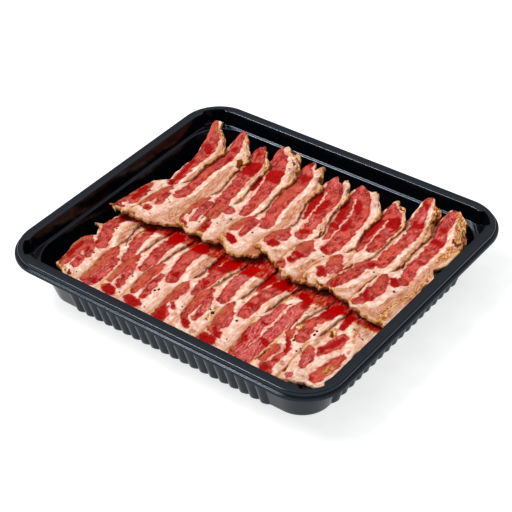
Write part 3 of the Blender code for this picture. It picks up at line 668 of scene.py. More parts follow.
def bacon_fields(nodes):
    """What the bacon material knows of each place: its painted fields and its grain."""
    see = SimpleNamespace()
    strand = nodes.attribute("strand", "Vector")
    see.edge = nodes.parts(strand)[2]
    see.tan, see.gold, see.burn = nodes.parts(nodes.attribute("crisp", "Vector"))
    see.deep, see.rose, see.rust = nodes.parts(nodes.attribute("meat", "Vector"))
    see.cover, see.tuck, see.fringe = nodes.parts(nodes.attribute("lie", "Vector"))
    see.fine = nodes.noise(strand, 0.9, 3.0)
    see.blotch = nodes.noise(strand, 0.16, 3.0)
    see.fibre = nodes.noise(nodes.stretched(strand, (1.5, 0.20, 1.0)), 1.0, 4.0)
    see.stroke = nodes.noise(nodes.stretched(strand, (0.50, 0.10, 1.0)), 1.0, 3.0)
    see.vein = nodes.noise(nodes.stretched(strand, (0.40, 0.09, 1.0)), 1.0, 4.0)
    see.crease = nodes.noise(nodes.stretched(strand, (0.45, 0.30, 1.0)), 1.0, 3.0)
    see.ragged = nodes.times(nodes.math("SUBTRACT", see.fine, 0.5), 2.0)
    see.depth = nodes.plus(nodes.attribute("lean"), see.ragged)
    see.meat = nodes.rise(see.depth, -0.45, 0.45)
    return see


def meat_colour(nodes, see):
    """Red meat with its marbling and pale streaks, partly painted sheen, dark where deep and browner along
    its outline.
    """
    red = nodes.between(nodes.rise(see.blotch, 0.43, 0.59), (154, 12, 8), (214, 88, 76))
    red = nodes.wash(red, 0.60, see.rust, (204, 84, 56))
    red = nodes.wash(red, 0.55, see.rose, (196, 50, 64))
    # Pale pink streaks: partly the meat's own tone, partly painted sheen.
    red = nodes.wash(red, 0.40, nodes.rise(see.stroke, 0.50, 0.66), (230, 112, 96))
    red = nodes.wash(red, 0.40, nodes.rise(see.stroke, 0.47, 0.36), (150, 4, 2))
    red = nodes.wash(red, 0.20, nodes.rise(see.fibre, 0.52, 0.68), (232, 150, 136))
    red = nodes.wash(red, 0.22, nodes.rise(see.fibre, 0.46, 0.32), (140, 8, 4))
    thread = nodes.math("ABSOLUTE", nodes.math("SUBTRACT", see.vein, 0.5))
    richness = nodes.plus(nodes.times(see.rose, 0.50), 0.30)
    marbling = nodes.times(nodes.rise(thread, 0.050, 0.012), richness)
    red = nodes.blend(marbling, red, lit(238, 172, 160))
    # Where deep, the meat turns dark red; at the front row's back ends this is painted shade in front of
    # the back row's feet.
    dark = nodes.between(nodes.rise(see.stroke, 0.42, 0.62), (150, 0, 0), (190, 34, 30))
    red = nodes.blend(nodes.times(see.deep, 0.92), red, dark)
    return nodes.wash(red, 0.50, nodes.rise(see.depth, 1.8, 0.3), (158, 22, 14))


def fat_colour(nodes, see):
    """Cream fat, browner far from the meat, pinker beside it and clear in the rind."""
    fat = nodes.between(nodes.rise(see.blotch, 0.38, 0.62), (244, 188, 164), (255, 232, 212))
    fat = nodes.wash(fat, 0.40, nodes.rise(see.depth, -4.5, -8.5), (204, 128, 94))
    fat = nodes.wash(fat, 0.60, nodes.rise(see.depth, -1.6, -0.2), (222, 124, 108))
    fat = nodes.wash(fat, 0.50, nodes.rise(see.stroke, 0.45, 0.34), (196, 112, 84))
    fat = nodes.wash(fat, 0.60, nodes.rise(see.stroke, 0.52, 0.66), (255, 244, 232))
    fat = nodes.wash(fat, 0.30, nodes.rise(see.fibre, 0.46, 0.32), (204, 134, 106))
    clear = nodes.between(nodes.rise(see.stroke, 0.40, 0.60), (184, 108, 76), (226, 172, 142))
    return nodes.blend(nodes.times(see.tan, 0.85), fat, clear)


def crisped(nodes, see, colour):
    """The colour with its golden patches, painted shade where a neighbour's edge lies over it, its browned
    edges and a thin dark outline, partly painted shade.
    """
    golden = nodes.between(nodes.rise(see.blotch, 0.40, 0.62), (196, 110, 44), (240, 184, 112))
    # The gold's pale streaks are painted highlights; its dark streaks are partly deeper browning, partly
    # painted crease shade.
    golden = nodes.wash(golden, 0.85, nodes.rise(see.crease, 0.49, 0.41), (116, 34, 4))
    golden = nodes.wash(golden, 0.75, nodes.rise(see.crease, 0.53, 0.62), (255, 230, 180))
    colour = nodes.blend(nodes.times(see.gold, 0.90), colour, golden)

    # Painted shade: darker, redder brown beside the edge of the neighbour that lies over this rasher.
    under = nodes.rise(nodes.plus(see.cover, see.ragged), 3.4, -0.8)
    lap_shade_colour = nodes.between(see.meat, (184, 96, 60), (146, 4, 0))
    colour = nodes.blend(nodes.times(under, 0.80), colour, lap_shade_colour)

    uneven = nodes.plus(nodes.times(nodes.rise(see.blotch, 0.40, 0.60), 3.4), 1.2)
    reach = nodes.plus(nodes.times(uneven, see.fringe), 1.1)
    near_edge = nodes.math("DIVIDE", nodes.plus(see.edge, see.ragged), reach)
    patchy = nodes.plus(see.stroke, nodes.times(see.fringe, 0.22))
    crust = nodes.times(nodes.rise(near_edge, 1.0, 0.15), nodes.rise(patchy, 0.36, 0.50))
    brown = nodes.between(nodes.rise(see.blotch, 0.38, 0.56), (150, 66, 20), (238, 184, 116))
    brown = nodes.wash(brown, 0.60, see.meat, (126, 24, 8))
    colour = nodes.blend(nodes.times(crust, 0.85), colour, brown)

    # The thin dark outline along the edges is partly browning and partly painted shade under the edges.
    outer = nodes.plus(see.edge, nodes.times(see.ragged, 0.4))
    outline = nodes.times(nodes.rise(outer, 0.80, 0.35), nodes.rise(see.fringe, 0.15, 0.45))
    return nodes.wash(colour, 0.45, outline, (146, 60, 22))


def shaded(nodes, see, colour):
    """The colour with painted shade, in dark red, where the front row runs under the back row, and with
    what is charred.
    """
    # Painted shade: the front row turns dark red, in streaks, under and just in front of the back row's
    # feet.
    streaky = nodes.times(nodes.math("SUBTRACT", see.stroke, 0.5), 1.6)
    tucked = nodes.plus(see.tuck, streaky)
    back_row_shade = nodes.blend(see.meat, nodes.rise(tucked, 0.55, 1.0), nodes.rise(tucked, 0.15, 0.75))
    back_row_shade_fat = nodes.between(nodes.rise(see.crease, 0.54, 0.66), (176, 30, 12), (226, 130, 80))
    back_row_shade_meat = nodes.between(see.fibre, (156, 4, 2), (204, 24, 12))
    colour = nodes.blend(back_row_shade, colour, nodes.blend(see.meat, back_row_shade_fat, back_row_shade_meat))
    char = nodes.plus(see.burn, nodes.times(see.ragged, 0.3))
    burnt = nodes.between(nodes.rise(see.fine, 0.36, 0.62), (64, 26, 10), (160, 80, 30))
    return nodes.blend(nodes.rise(char, 0.25, 0.80), colour, burnt)


def bacon_finish():
    """Meat, fat, rind and crisp edges, sorted by the fields painted on each rasher."""
    nodes = Nodes("cooked_bacon")
    see = bacon_fields(nodes)
    colour = nodes.blend(see.meat, fat_colour(nodes, see), meat_colour(nodes, see))
    colour = shaded(nodes, see, crisped(nodes, see, colour))
    grain = nodes.plus(nodes.times(see.fibre, 0.5), nodes.times(see.stroke, 0.8))
    grain = nodes.plus(grain, nodes.times(see.fine, 0.4))
    rough = nodes.range(see.fine, 0.26, 0.46)
    return nodes.finish(colour, rough, nodes.bump(grain, 0.0010, 0.5), 0.05)


def plastic_finish():
    """Glossy black sheet with the slight waviness and haze of thermoforming."""
    nodes = Nodes("black_sheet")
    place = nodes.add("ShaderNodeTexCoord", "Object")
    haze = nodes.noise(place, 160.0, 4.0)
    colour = nodes.blend(haze, tone(4, 6, 10), tone(9, 13, 20))
    nodes.shader.inputs["Specular Tint"].default_value = (0.72, 0.84, 1.0, 1.0)
    normal = nodes.bump(nodes.noise(place, 55.0, 2.0), 0.0002, 0.15)
    normal = nodes.bump(nodes.noise(place, 1400.0, 2.0), 0.00002, 0.15, normal)
    return nodes.finish(colour, nodes.range(haze, 0.12, 0.19), normal, 0.55)


def speck_finish():
    """Charred seasoning: near black with brown highs."""
    nodes = Nodes("charred_seasoning")
    grain = nodes.noise(nodes.add("ShaderNodeTexCoord", "Object"), 1800.0, 3.0)
    colour = nodes.blend(grain, tone(26, 11, 5), tone(84, 44, 20))
    rough = nodes.add("ShaderNodeMapRange", 0, {}, Value=grain, To_Min=0.55, To_Max=0.95)
    return nodes.finish(colour, rough, nodes.bump(grain, 0.0002, 0.6), 0.15)


def floor_finish():
    """Pale paper that glows a little, so that it keeps only the deepest of the shadow."""
    nodes = Nodes("studio_sweep")
    paper = nodes.noise(nodes.add("ShaderNodeTexCoord", "Object"), 40.0, 4.0)
    colour = nodes.blend(paper, tone(150, 150, 150), tone(158, 158, 158))
    nodes.put(nodes.shader.inputs["Emission Color"], colour)
    nodes.shader.inputs["Emission Strength"].default_value = FLOOR_GLOW
    return nodes.finish(colour, 0.85, nodes.bump(paper, 0.0002, 0.2), 0.1)


# --- Tray -------------------------------------------------------------------------


def tray_outline(inset, cavity, pocket, rib):
    """One closed outline of the tray, counter-clockwise, in from the rim's outer edge.

    cavity goes from 0, for the rim's corners, to 1 for the cavity's rounder ones. pocket
    swells the middle of each corner, and rib the flutes of the sides.
    """
    radius = RIM_CORNER + (CAVITY_CORNER - RIM_CORNER) * cavity - inset
    half_x = RIM_LENGTH / 2 - inset
    half_y = RIM_WIDTH / 2 - inset
    degrees = np.linspace(0.0, 90.0, 31)
    step_in = smooth((degrees - POCKET_FROM + 2.5) / 5.0)
    step_out = smooth((POCKET_TO + 2.5 - degrees) / 5.0)
    out = radius + pocket * step_in * step_out
    points = []
    for corner in range(4):
        turn = math.radians(90 * corner - 90)
        sign_x = 1 if corner in (0, 1) else -1
        sign_y = 1 if corner in (1, 2) else -1
        angle = turn + np.radians(degrees)
        points.append(np.stack([sign_x * (half_x - radius) + out * np.cos(angle),
                                sign_y * (half_y - radius) + out * np.sin(angle)], -1))
        along_y = corner in (0, 2)
        ribs = SHORT_RIBS if along_y else LONG_RIBS
        facing = turn + math.pi / 2
        out_x, out_y = round(math.cos(facing)), round(math.sin(facing))
        reach = half_x if along_y else half_y
        step = np.arange(ribs * RIB_SAMPLES + 1)
        place = (step / RIB_SAMPLES - ribs / 2) * RIB_PITCH
        bulge = rib * np.abs(np.sin(math.pi * step / RIB_SAMPLES)) ** 0.85
        points.append(np.stack([out_x * (reach + bulge) - out_y * place,
                                out_y * (reach + bulge) + out_x * place], -1))
    return np.concatenate(points)


def rounded_profile(corners):
    """The profile's stations with each corner rounded to its own radius.

    A corner is (inset, z, radius, cavity, pocket).
    """
    stations = []
    for number, corner in enumerate(corners):
        here = np.array(corner[:2])
        radius = corner[2]
        if radius == 0 or number in (0, len(corners) - 1):
            stations.append(np.array([*here, *corner[3:]]))
            continue
        before, after = np.array(corners[number - 1][:2]), np.array(corners[number + 1][:2])
        to_before = (before - here) / np.linalg.norm(before - here)
        to_after = (after - here) / np.linalg.norm(after - here)
        for part in np.linspace(0.0, 1.0, 5):
            leg_before, leg_after = radius * (1 - part) ** 2, radius * part ** 2
            stations.append(np.array([*(here + to_before * leg_before + to_after * leg_after),
                                      *corner[3:]]))
    return stations


def build_tray(finish):
    """The sheet, from the middle of the floor up the inside, over the rim and down the outside."""
    ledge_z = HEIGHT - BAND
    band_foot = RIM_TOP + BAND_DRAFT
    ledge_in = band_foot + LEDGE
    flange_z = HEIGHT - RISER
    shelf = ledge_z - SHEET
    under_rim = HEIGHT - SHEET
    under_skirt = flange_z - SKIRT

    def ring(inset, z, cavity, pocket, rib=0.0):
        outline = tray_outline(inset, cavity, pocket, rib)
        return np.column_stack([outline, np.full(len(outline), z)])

    rings = [ring(*station) for station in rounded_profile([
        (0.060, SHEET, 0, 1, 0),
        (WALL_FOOT + 0.0008, SHEET, 0.004, 1, 0),
        (ledge_in, ledge_z, 0.0012, 1, 0),
        (band_foot, ledge_z, 0.0010, 0, POCKET),
        (RIM_TOP, HEIGHT, 0.0010, 0, POCKET),
        (0.0, HEIGHT, 0.0012, 0, 0),
        (-0.0004, flange_z, 0.0004, 0, 0),
        (-FLANGE, flange_z, 0.0008, 0, 0),
        (-FLANGE - 0.0003, under_skirt, 0, 0, 0),
        (-FLANGE + SHEET, under_skirt, 0, 0, 0),
        (-FLANGE + 1.2 * SHEET, flange_z - SHEET, 0.0003, 0, 0),
        (0.0006, flange_z - SHEET, 0.0004, 0, 0),
        (0.0014, under_rim, 0.0004, 0, 0),
        (RIM_TOP - 1.8 * SHEET, under_rim, 0.0006, 0, POCKET),
        (band_foot - SHEET, shelf, 0.0006, 0, POCKET),
        (ledge_in - SHEET, shelf, 0.0006, 1, 0),
    ])]
    top, foot = shelf - 0.0008, 0.0014
    wall_top, wall_foot = ledge_in - 0.8 * SHEET, WALL_FOOT - 0.0005
    for share in np.linspace(0.0, 1.0, 26):
        z = top + (foot - top) * share
        inset = wall_top + (wall_foot - wall_top) * share
        swell = math.sqrt(smooth((top - z) / 0.009)) * math.sqrt(smooth((z + 0.0004) / 0.0035))
        rings.append(ring(inset, z, 1, 0, RIB_DEPTH * float(swell)))
    rings += [ring(WALL_FOOT + 0.0006, 0.0004, 1, 0), ring(0.0250, 0.0, 1, 0)]
    tray = skin("tray_shell", np.array(rings), finish, {})
    tray.data.set_sharp_from_angle(angle=math.radians(38))
    piece(tray, "black_plastic", "tray")


def cavity_half(y):
    """How far from the middle the cavity reaches in X at this Y, just below its ledge."""
    inset = RIM_TOP + BAND_DRAFT + LEDGE
    radius = CAVITY_CORNER - inset
    half_x = RIM_LENGTH / 2 - inset
    past = np.clip(np.abs(y) - (RIM_WIDTH / 2 - inset - radius), 0.0, radius)
    return half_x - radius + np.sqrt(radius ** 2 - past ** 2)


# --- Rashers ----------------------------------------------------------------------


def bed_wave(x, y):
    """The slow rise and fall that every layer of the bacon shares."""
    return 0.0006 * np.sin(x / 0.013 + 1.2 * np.sin(y / 0.031)) + 0.0005 * np.sin(y / 0.0085)


def row_height(row, y, back_end, tip_height):
    """The height of the middle of a rasher at this Y, without its tilt."""
    if row is FRONT_ROW:
        under_back_row = smooth((y + 0.055) / 0.035)
        at_wall = np.maximum((-0.095 - y) / 0.030, 0.0)
        return 0.0325 - 0.0045 * under_back_row + 0.002 * at_wall ** 2
    over_front_row = smooth((0.030 - y) / 0.035)
    up_wall = np.maximum((y - TIP_START) / (back_end - TIP_START), 0.0)
    return 0.0335 + 0.004 * over_front_row + (tip_height - 0.0335) * up_wall ** 2


def lap_at(row, y):
    """Half the width of the lap at a seam."""
    away = smooth(np.abs(y - row["cross"]) / CROSS_REACH)
    apart = smooth((y - LAP_FADES[0]) / (LAP_FADES[1] - LAP_FADES[0]))
    return (LEAST_LAP + (HALF_LAP - LEAST_LAP) * away) * (1.0 - apart)


def edges_at(row, number, y):
    """X of a rasher's two edges. Its outer neighbour may be the tray's wall."""
    left = through(row["stations"], row["seams"][number], y) * MM - lap_at(row, y)
    right = through(row["stations"], row["seams"][number + 1], y) * MM + lap_at(row, y)
    limit = cavity_half(y) - WALL_GAP
    return np.maximum(left, -limit - 0.003 * (y > TIP_START)), np.minimum(right, limit)


def tilt_at(row, y):
    """+1 where the +X edge lies over its neighbour, -1 where the -X edge does."""
    return 2.0 * smooth((y - row["cross"] + CROSS_FLAT) / (2 * CROSS_FLAT)) - 1.0


def depth_in(band, x, y):
    """How deep inside a streak or patch each place lies, in mm; below zero is outside."""
    band = np.reshape(band, (-1, 3))
    band = band if len(band) > 1 else np.repeat(band, 2, axis=0)
    depth = np.full(np.shape(x), -50.0)
    for (x0, y0, wide0), (x1, y1, wide1) in zip(band, band[1:]):
        run = max((x1 - x0) ** 2 + (y1 - y0) ** 2, 1e-9)
        part = np.clip(((x - x0) * (x1 - x0) + (y - y0) * (y1 - y0)) / run, 0.0, 1.0)
        away = np.hypot(x - x0 - (x1 - x0) * part, y - y0 - (y1 - y0) * part)
        depth = np.maximum(depth, (wide0 + (wide1 - wide0) * part) / 2 - away)
    return depth


def deepest(streaks, kind, x, y):
    """The same for the deepest of all the streaks of one kind."""
    depth = np.full(np.shape(x), -50.0)
    for band in streaks.get(kind, ()):
        depth = np.maximum(depth, depth_in(band, x, y))
    return depth


def paint(name, seed, x, y):
    """The fields of the bacon material at places on a rasher's plan, in mm."""
    streaks = STREAKS[name]
    bent_x = x + 0.50 * waves(x, y, 9.0, seed) + 0.45 * waves(x, y * 0.6, 3.6, seed + 1)
    bent_y = y + 0.60 * waves(x, y, 8.0, seed + 2) + 0.40 * waves(x, y, 3.0, seed + 3)
    lean = deepest(streaks, "lean", bent_x, bent_y)
    lean = np.minimum(lean, -deepest(streaks, "cut", bent_x, bent_y))
    soft = {"deep": 0.9, "rose": 2.0, "rust": 2.2, "tan": 1.4, "gold": 1.2, "burn": 0.5}
    amount = {
        kind: smooth(0.5 + deepest(streaks, kind, bent_x, bent_y) / (2 * reach))
        for kind, reach in soft.items()
    }
    return np.clip(lean + LEAN_SPREAD, -9.0, 6.0), amount


def rasher_plan(row, number, name, seed, across, along):
    """X, Y, the two edges, the crown and the foot, at places across and along a rasher."""
    width = across * NOMINAL_WIDTH
    crown = eased(row["crowns"][number], across) * MM + 0.5 * MM * waves(width, 0.0, 9.0, seed + 10)
    foot = eased(row["feet"][number], across) * MM
    lobes = waves(width, 0.0, 9.0, seed + 11) + 0.8 * np.abs(waves(width, 0.0, 5.0, seed + 9))
    foot = foot + MM * FOOT_LOBES[row["name"]] * lobes
    if row is BACK_ROW:
        scallop = np.sin(math.pi * np.clip(across / 0.85, 0.0, 1.0))
        foot = foot + MM * (1.8 - FOOT_SCALLOP * scallop)
    y = crown + (foot - crown) * along
    left, right = edges_at(row, number, y)

    def wavy(size, turn):
        return waves(y / MM, 0.0, size, seed + turn)

    calm = MM * (1.0 - 0.85 * np.exp(-((y - row["cross"]) / 0.009) ** 2))
    left = left + 0.35 * calm * (wavy(11.0, 12) + 0.5 * wavy(4.0, 13))
    right = right + 0.45 * calm * (wavy(10.0, 14) + 0.6 * wavy(4.0, 15))
    if row is BACK_ROW:
        bulging = smooth((y - TIP_START - 0.002) / 0.012)
        right = right + MM * EDGE_BULGE * bulging * np.abs(wavy(12.0, 25))
    for side, place, reach, spread in SPURS.get(name, ()):
        bump = MM * reach * np.exp(-((y / MM - place) / spread) ** 2)
        left, right = (left - bump, right) if side == "left" else (left, right + bump)
    near_end = np.minimum(crown - y, y - foot)
    turned = 1.0 - (1.0 - near_end / END_RADIUS).clip(0.0, 1.0) ** 2
    round_off = 0.6 * END_RADIUS * (1.0 - np.sqrt(turned))
    left, right = left + round_off, right - round_off
    return left + (right - left) * across, y, left, right, crown, foot


def rasher_swell(number, seed, across, x, y, foot):
    """How far the crisp right edge and the foot of a back rasher curl up, in mm."""
    crisp = smooth((y - TIP_START - 0.002) / 0.014) * smooth((across - 0.45) / 0.30)
    curl = CURLS[number] * (0.7 + 0.6 * waves(x / MM, y / MM, 9.0, seed + 18)).clip(0.1)
    crinkle = CRINKLE * np.abs(waves(x / MM, y / MM, 5.5, seed + 23))
    lobed = 0.15 + np.abs(waves(x / MM, y / MM * 0.4, 11.0, seed + 24))
    return crisp * (curl + crinkle) + FOOT_CURL * smooth((6.0 - (y - foot) / MM) / 6.0) * lobed


def rasher_lie(row, number, x, y, left, right, foot, tilt):
    """How a rasher lies among the others, as three fields.

    cover is how far a place is from under its neighbour in mm, tuck is 1 under the other
    row, and fringe is how much an edge browns. The material paints shade by cover and tuck,
    and by fringe a dark outline that is partly painted shade.
    """
    last = len(row["tips"]) - 1
    covered_left = edges_at(row, number - 1, y)[1] if number else left - 0.02
    covered_right = edges_at(row, number + 1, y)[0] if number < last else right + 0.02
    cover = np.where(tilt > 0, x - covered_left, covered_right - x) / MM
    cover = cover + 6.0 * (1.0 - np.abs(tilt)) + 8.0 * smooth((y - 0.096) / 0.010)
    tuck = smooth((y + 0.037) / 0.010) * (row is FRONT_ROW)
    over_left = smooth((row["cross"] - 0.003 - y) / 0.008) * smooth((7.0 - (x - left) / MM) / 3.0)
    over_right = smooth((y - 0.040) / 0.060) * smooth((6.0 - (right - x) / MM) / 3.0)
    at_foot = smooth((5.0 - (y - foot) / MM) / 2.0) * (row is BACK_ROW)
    fringe = np.maximum(np.maximum(over_left, over_right), 0.50 * at_foot)
    return vectors(cover.clip(-3.0, 20.0), tuck, fringe)


def toasted_edge(number, seed, x, y, right):
    """The gold of a back rasher's curled right edge, in patches."""
    reach = 1.0 + 2.6 * CURLS[number]
    at_edge = smooth((y / MM - 76) / 14) * smooth((reach - (right - x) / MM) / 3.0)
    return at_edge * smooth(0.8 + waves(x / MM, y / MM, 7.0, seed + 22))


def domed(edge, radius):
    """A quarter round from 0 at the edge to 1 at this radius in from it."""
    return np.sqrt(1.0 - (1.0 - np.clip(edge / radius, 0.0, 1.0)) ** 2)


def build_rasher(row, number, finish):
    """One rasher. Returns its upper side, as X, Y, Z, depth of meat and browning."""
    name = f"{row['name']}_{number + 1:02d}"
    seed = 100 * number + (7 if row is BACK_ROW else 57)
    under = np.linspace(0.97, 0.03, UNDER_LANES)
    across = np.concatenate([crowded(TOP_LANES, 0.55), under])[None, :]
    upper = (np.arange(TOP_LANES + UNDER_LANES) < TOP_LANES)[None, :]
    along = crowded(SECTIONS, 0.2)[:, None]
    x, y, left, right, crown, foot = rasher_plan(row, number, name, seed, across, along)
    edge = np.minimum(np.minimum(x - left, right - x), np.minimum(crown - y, y - foot)) / MM
    plan_x, plan_y = x / MM, y / MM
    lean, amount = paint(name, seed + 20, plan_x, plan_y)

    tilt = tilt_at(row, y)
    over = np.clip(0.5 + tilt * (across - 0.5), 0.0, 1.0)
    z = row_height(row, y, crown.max(), row["tips"][number] * MM) + bed_wave(x, y)
    z = z + TILT * tilt * (2 * across - 1)
    lift = (0.04 + LAP_LIFT * waves(plan_x, plan_y, 13.0, seed + 16)).clip(0.0)
    z = z + MM * (over ** 4 * lift + BED_ROLL * waves(plan_x, plan_y, 17.0, seed + 17))
    swell = 0.0
    if row is BACK_ROW:
        swell = rasher_swell(number, seed, across, x, y, foot)
        amount["gold"] = np.maximum(amount["gold"], toasted_edge(number, seed, x, y, right))
    seam = (across <= 0.0) | (across >= 1.0)
    plump = np.where(seam, 0.0, np.maximum(domed(edge, EDGE_RADIUS), 0.06))
    half = THICK / 2 * np.where(upper, plump * (1.0 + EDGE_SAG) - EDGE_SAG,
                                plump * (1.0 - EDGE_SAG) + EDGE_SAG)
    relief = FAT_PUFF * smooth(0.5 - lean / 2.4) * smooth(edge / 2.0)
    relief = relief - BURN_DENT * amount["burn"]
    relief = relief + 0.10 * waves(plan_x, plan_y, 3.2, seed + 19)
    relief = relief + 0.12 * waves(plan_x, plan_y * 0.4, 2.2, seed + 21)
    raised = MM * (relief * domed(edge, EDGE_RADIUS) + swell * domed(edge, FOLD_RADIUS))
    z = np.where(upper, z + half + raised, z - half)
    z = np.minimum(z, NEAR_TOP + (z - NEAR_TOP) * 0.5)

    row_shift = 3 * STRAND_SEED * (row is BACK_ROW)
    fields = {
        "lean": lean,
        "strand": vectors(plan_x + STRAND_SEED * number, plan_y + row_shift, edge),
        "crisp": vectors(amount["tan"], amount["gold"], amount["burn"]),
        "meat": vectors(amount["deep"], amount["rose"], amount["rust"]),
        "lie": rasher_lie(row, number, x, y, left, right, foot, tilt),
    }
    made = skin(name.replace("rasher", "bacon"), vectors(x, y, z), finish, fields)
    piece(made, "bacon", name)
    show = np.broadcast_to(upper & (across > 0.02) & (across < 0.98), x.shape)
    browned = amount["gold"] + amount["tan"]
    return np.stack([plan_x[show], plan_y[show], z[show] / MM, lean[show], browned[show]], -1)


# --- Lower layers and seasoning ---------------------------------------------------


def pile_top(y):
    """The height of the lower layers' upper side, just under the rashers that lie on it."""
    drop = TILT + THICK / 2 + 0.0017
    front = row_height(FRONT_ROW, y, 0.0, 0.0) - drop
    back = row_height(BACK_ROW, y, 0.130, 0.0335) - drop
    return np.where(y < 0.012, front, np.minimum(front + (y - 0.012) * 0.30, back))


def build_pile(finish):
    """The rashers below as one stack, with the ends of its layers showing at its sides."""
    turn = np.linspace(0.0, 2 * math.pi, 320, endpoint=False)
    wide = np.sign(np.cos(turn)) * np.abs(np.cos(turn)) ** PILE_CORNERS
    deep = np.sign(np.sin(turn)) * np.abs(np.sin(turn)) ** PILE_CORNERS
    left, right, front, back = PILE_SIDES
    middle_x, middle_y = (left + right) / 2, (front + back) / 2
    floor = SHEET + 0.0004
    rings, lean = [], []
    for level in np.linspace(0.0, 1.0, 43):
        layer = level * PILE_LAYERS
        number = min(int(layer), PILE_LAYERS - 1)

        def wavy(size, seed, shift=0):
            return waves(wide * 130 + shift, deep * 110, size, seed + number)

        seam = abs(layer % 1.0 - 0.5) * 2
        out = MM * (1.6 * wavy(21.0, 900) + 0.9 * wavy(7.0, 930) - 2.2 * seam ** 3)
        shrink = 1.0 - 0.075 * (1.0 - level)
        x = middle_x + wide * ((right - left) / 2 * shrink + out)
        y = middle_y + deep * ((back - front) / 2 * shrink + out)
        limit = cavity_half(y) * shrink - WALL_GAP
        x = np.clip(x, -limit, limit)
        z = floor + (pile_top(y) + bed_wave(x, y) - floor) * level
        rings.append(vectors(x, y, z))
        lean.append(3.0 * wavy(16.0, 960, 40 * number) + 0.8)
    edge_x, edge_y = rings[-1][:, 0], rings[-1][:, 1]
    for share in np.linspace(0.985, 0.02, 34):
        x = middle_x + (edge_x - middle_x) * share
        y = middle_y + (edge_y - middle_y) * share
        rings.append(vectors(x, y, pile_top(y) + bed_wave(x, y)))
        lean.append(2.5 * waves(x / MM, y / MM * 0.25, 14.0, 990) + 0.5)
    rings = np.array(rings)
    x, y, z = rings.reshape(-1, 3).T / MM
    plain = np.zeros(len(x))
    fields = {
        "lean": np.array(lean),
        "strand": vectors(x + y, z * 3 - 200, 3.0),
        "crisp": vectors(plain + 0.25, 0.0, 0.0),
        "meat": vectors(plain + 0.65, 0.1, 0.3),
        "lie": vectors(plain + 20.0, 0.0, 0.0),
    }
    piece(skin("bacon_underneath", rings, finish, fields), "bacon_underneath", "lower_rashers")


def speck_body(centre, width, dice):
    """One speck: a flattened lump, as points and faces."""
    around, rows = 9, 5
    turn = np.linspace(0.0, 2 * math.pi, around, endpoint=False)
    stretch, heading = dice.uniform(0.65, 1.0), dice.uniform(0.0, math.pi)
    points = []
    for row in range(1, rows):
        lift = -math.cos(math.pi * row / rows)
        radius = math.sin(math.pi * row / rows) * width / 2 * (1 + dice.uniform(-0.16, 0.16, around))
        a, b = radius * np.cos(turn), radius * stretch * np.sin(turn)
        points.append(centre + vectors(a * math.cos(heading) - b * math.sin(heading),
                                       a * math.sin(heading) + b * math.cos(heading),
                                       0.26 * width * lift))
    index = np.arange(around * (rows - 1)).reshape(rows - 1, around)
    after = np.roll(index, -1, axis=1)
    sides = np.stack([index[:-1], after[:-1], after[1:], index[1:]], -1).reshape(-1, 4)
    return np.concatenate(points), sides.tolist() + [index[0][::-1].tolist(), index[-1].tolist()]


def build_specks(tops, finish):
    """Charred grains lying on the fat."""
    dice = np.random.default_rng(41)
    fat = tops[(tops[:, 3] < -1.2) & (tops[:, 4] < 0.8)]
    picks = fat[dice.choice(len(fat), FINE_SPECKS, replace=False)]
    spots = [(x, y, 0.42 + 0.65 * dice.random() ** 3) for x, y in picks[:, :2]]
    spots += [(x, y, 0.75 * width) for x, y, width in SPECKS]
    points, faces = [], []
    for x, y, width in spots:
        near = tops[np.hypot(tops[:, 0] - x, tops[:, 1] - y) < 1.2]
        if not len(near):
            continue
        centre = np.array([x, y, near[:, 2].max() + 0.02 * width])
        body, sides = speck_body(centre, width, dice)
        faces += [[corner + len(points) * len(body) for corner in side] for side in sides]
        points.append(body)
    points = (np.concatenate(points) * MM).tolist()
    piece(linked("charred_specks", points, faces, finish), "bacon")


# --- Studio -----------------------------------------------------------------------


def build_floor(finish):
    """A wide flat sheet under the tray."""
    half = 4.0
    corners = [(-half, -half, 0), (half, -half, 0), (half, half, 0), (-half, half, 0)]
    linked("floor", corners, [(0, 1, 2, 3)], finish)


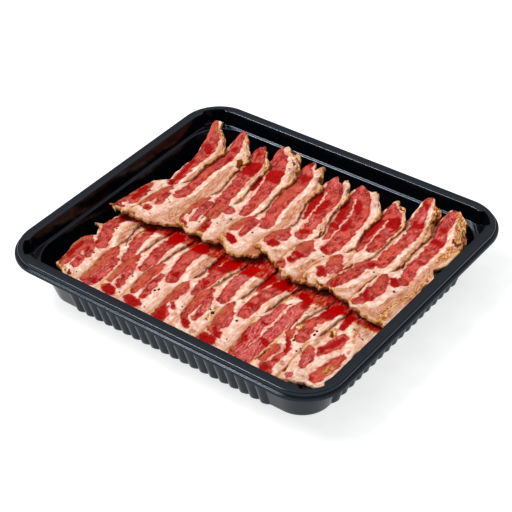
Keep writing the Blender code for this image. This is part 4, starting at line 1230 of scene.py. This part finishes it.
def build_camera():
    """The photograph's view: its direction, its slight roll and its long lens."""
    azimuth, elevation, roll = math.radians(38.52), math.radians(38.31), math.radians(-2.265)
    target, distance = Vector((0.01839, -0.02569, HEIGHT)), 1.262
    back = Vector((math.sin(azimuth) * math.cos(elevation),
                   -math.cos(azimuth) * math.cos(elevation), math.sin(elevation)))
    level = Vector((math.cos(azimuth), math.sin(azimuth), 0.0))
    upright = back.cross(level)
    right = math.cos(roll) * level + math.sin(roll) * upright
    up = math.cos(roll) * upright - math.sin(roll) * level
    data = bpy.data.cameras.new("camera")
    data.lens = 109.28
    camera = bpy.data.objects.new("camera", data)
    camera.matrix_world = Matrix.Translation(target + back * distance) @ Matrix(
        (right, up, back)).transposed().to_4x4()
    bpy.context.scene.collection.objects.link(camera)
    bpy.context.scene.camera = camera


def build_light():
    """The sky, the lights and the view transform."""
    scene = bpy.context.scene
    scene.view_settings.view_transform = "Standard"
    scene.view_settings.gamma = VIEW_GAMMA
    world = bpy.data.worlds.new("studio")
    world.use_nodes = True
    sky, links = world.node_tree.nodes, world.node_tree.links
    sky["Background"].inputs["Color"].default_value = (0.97, 0.985, 1.0, 1.0)
    height = sky.new("ShaderNodeSeparateXYZ")
    links.new(sky.new("ShaderNodeTexCoord").outputs["Generated"], height.inputs[0])
    rise = sky.new("ShaderNodeMapRange")
    rise.interpolation_type = "SMOOTHSTEP"
    for name, value in SKY_RISE.items():
        rise.inputs[name].default_value = value
    links.new(height.outputs["Z"], rise.inputs["Value"])
    links.new(rise.outputs["Result"], sky["Background"].inputs["Strength"])
    scene.world = world
    for name, (energy, degrees, came_from) in LIGHTS.items():
        data = bpy.data.lights.new(name, "SUN")
        data.energy = energy
        data.color = (1.0, 0.98, 0.95)
        data.angle = math.radians(degrees)
        light = bpy.data.objects.new(name, data)
        light.rotation_euler = Vector(came_from).to_track_quat("Z", "Y").to_euler()
        scene.collection.objects.link(light)


bacon = bacon_finish()
build_tray(plastic_finish())
build_pile(bacon)
tops = []
for row in (BACK_ROW, FRONT_ROW):
    for number in range(len(row["tips"])):
        tops.append(build_rasher(row, number, bacon))
build_specks(np.concatenate(tops), speck_finish())
build_floor(floor_finish())
build_light()
build_camera()
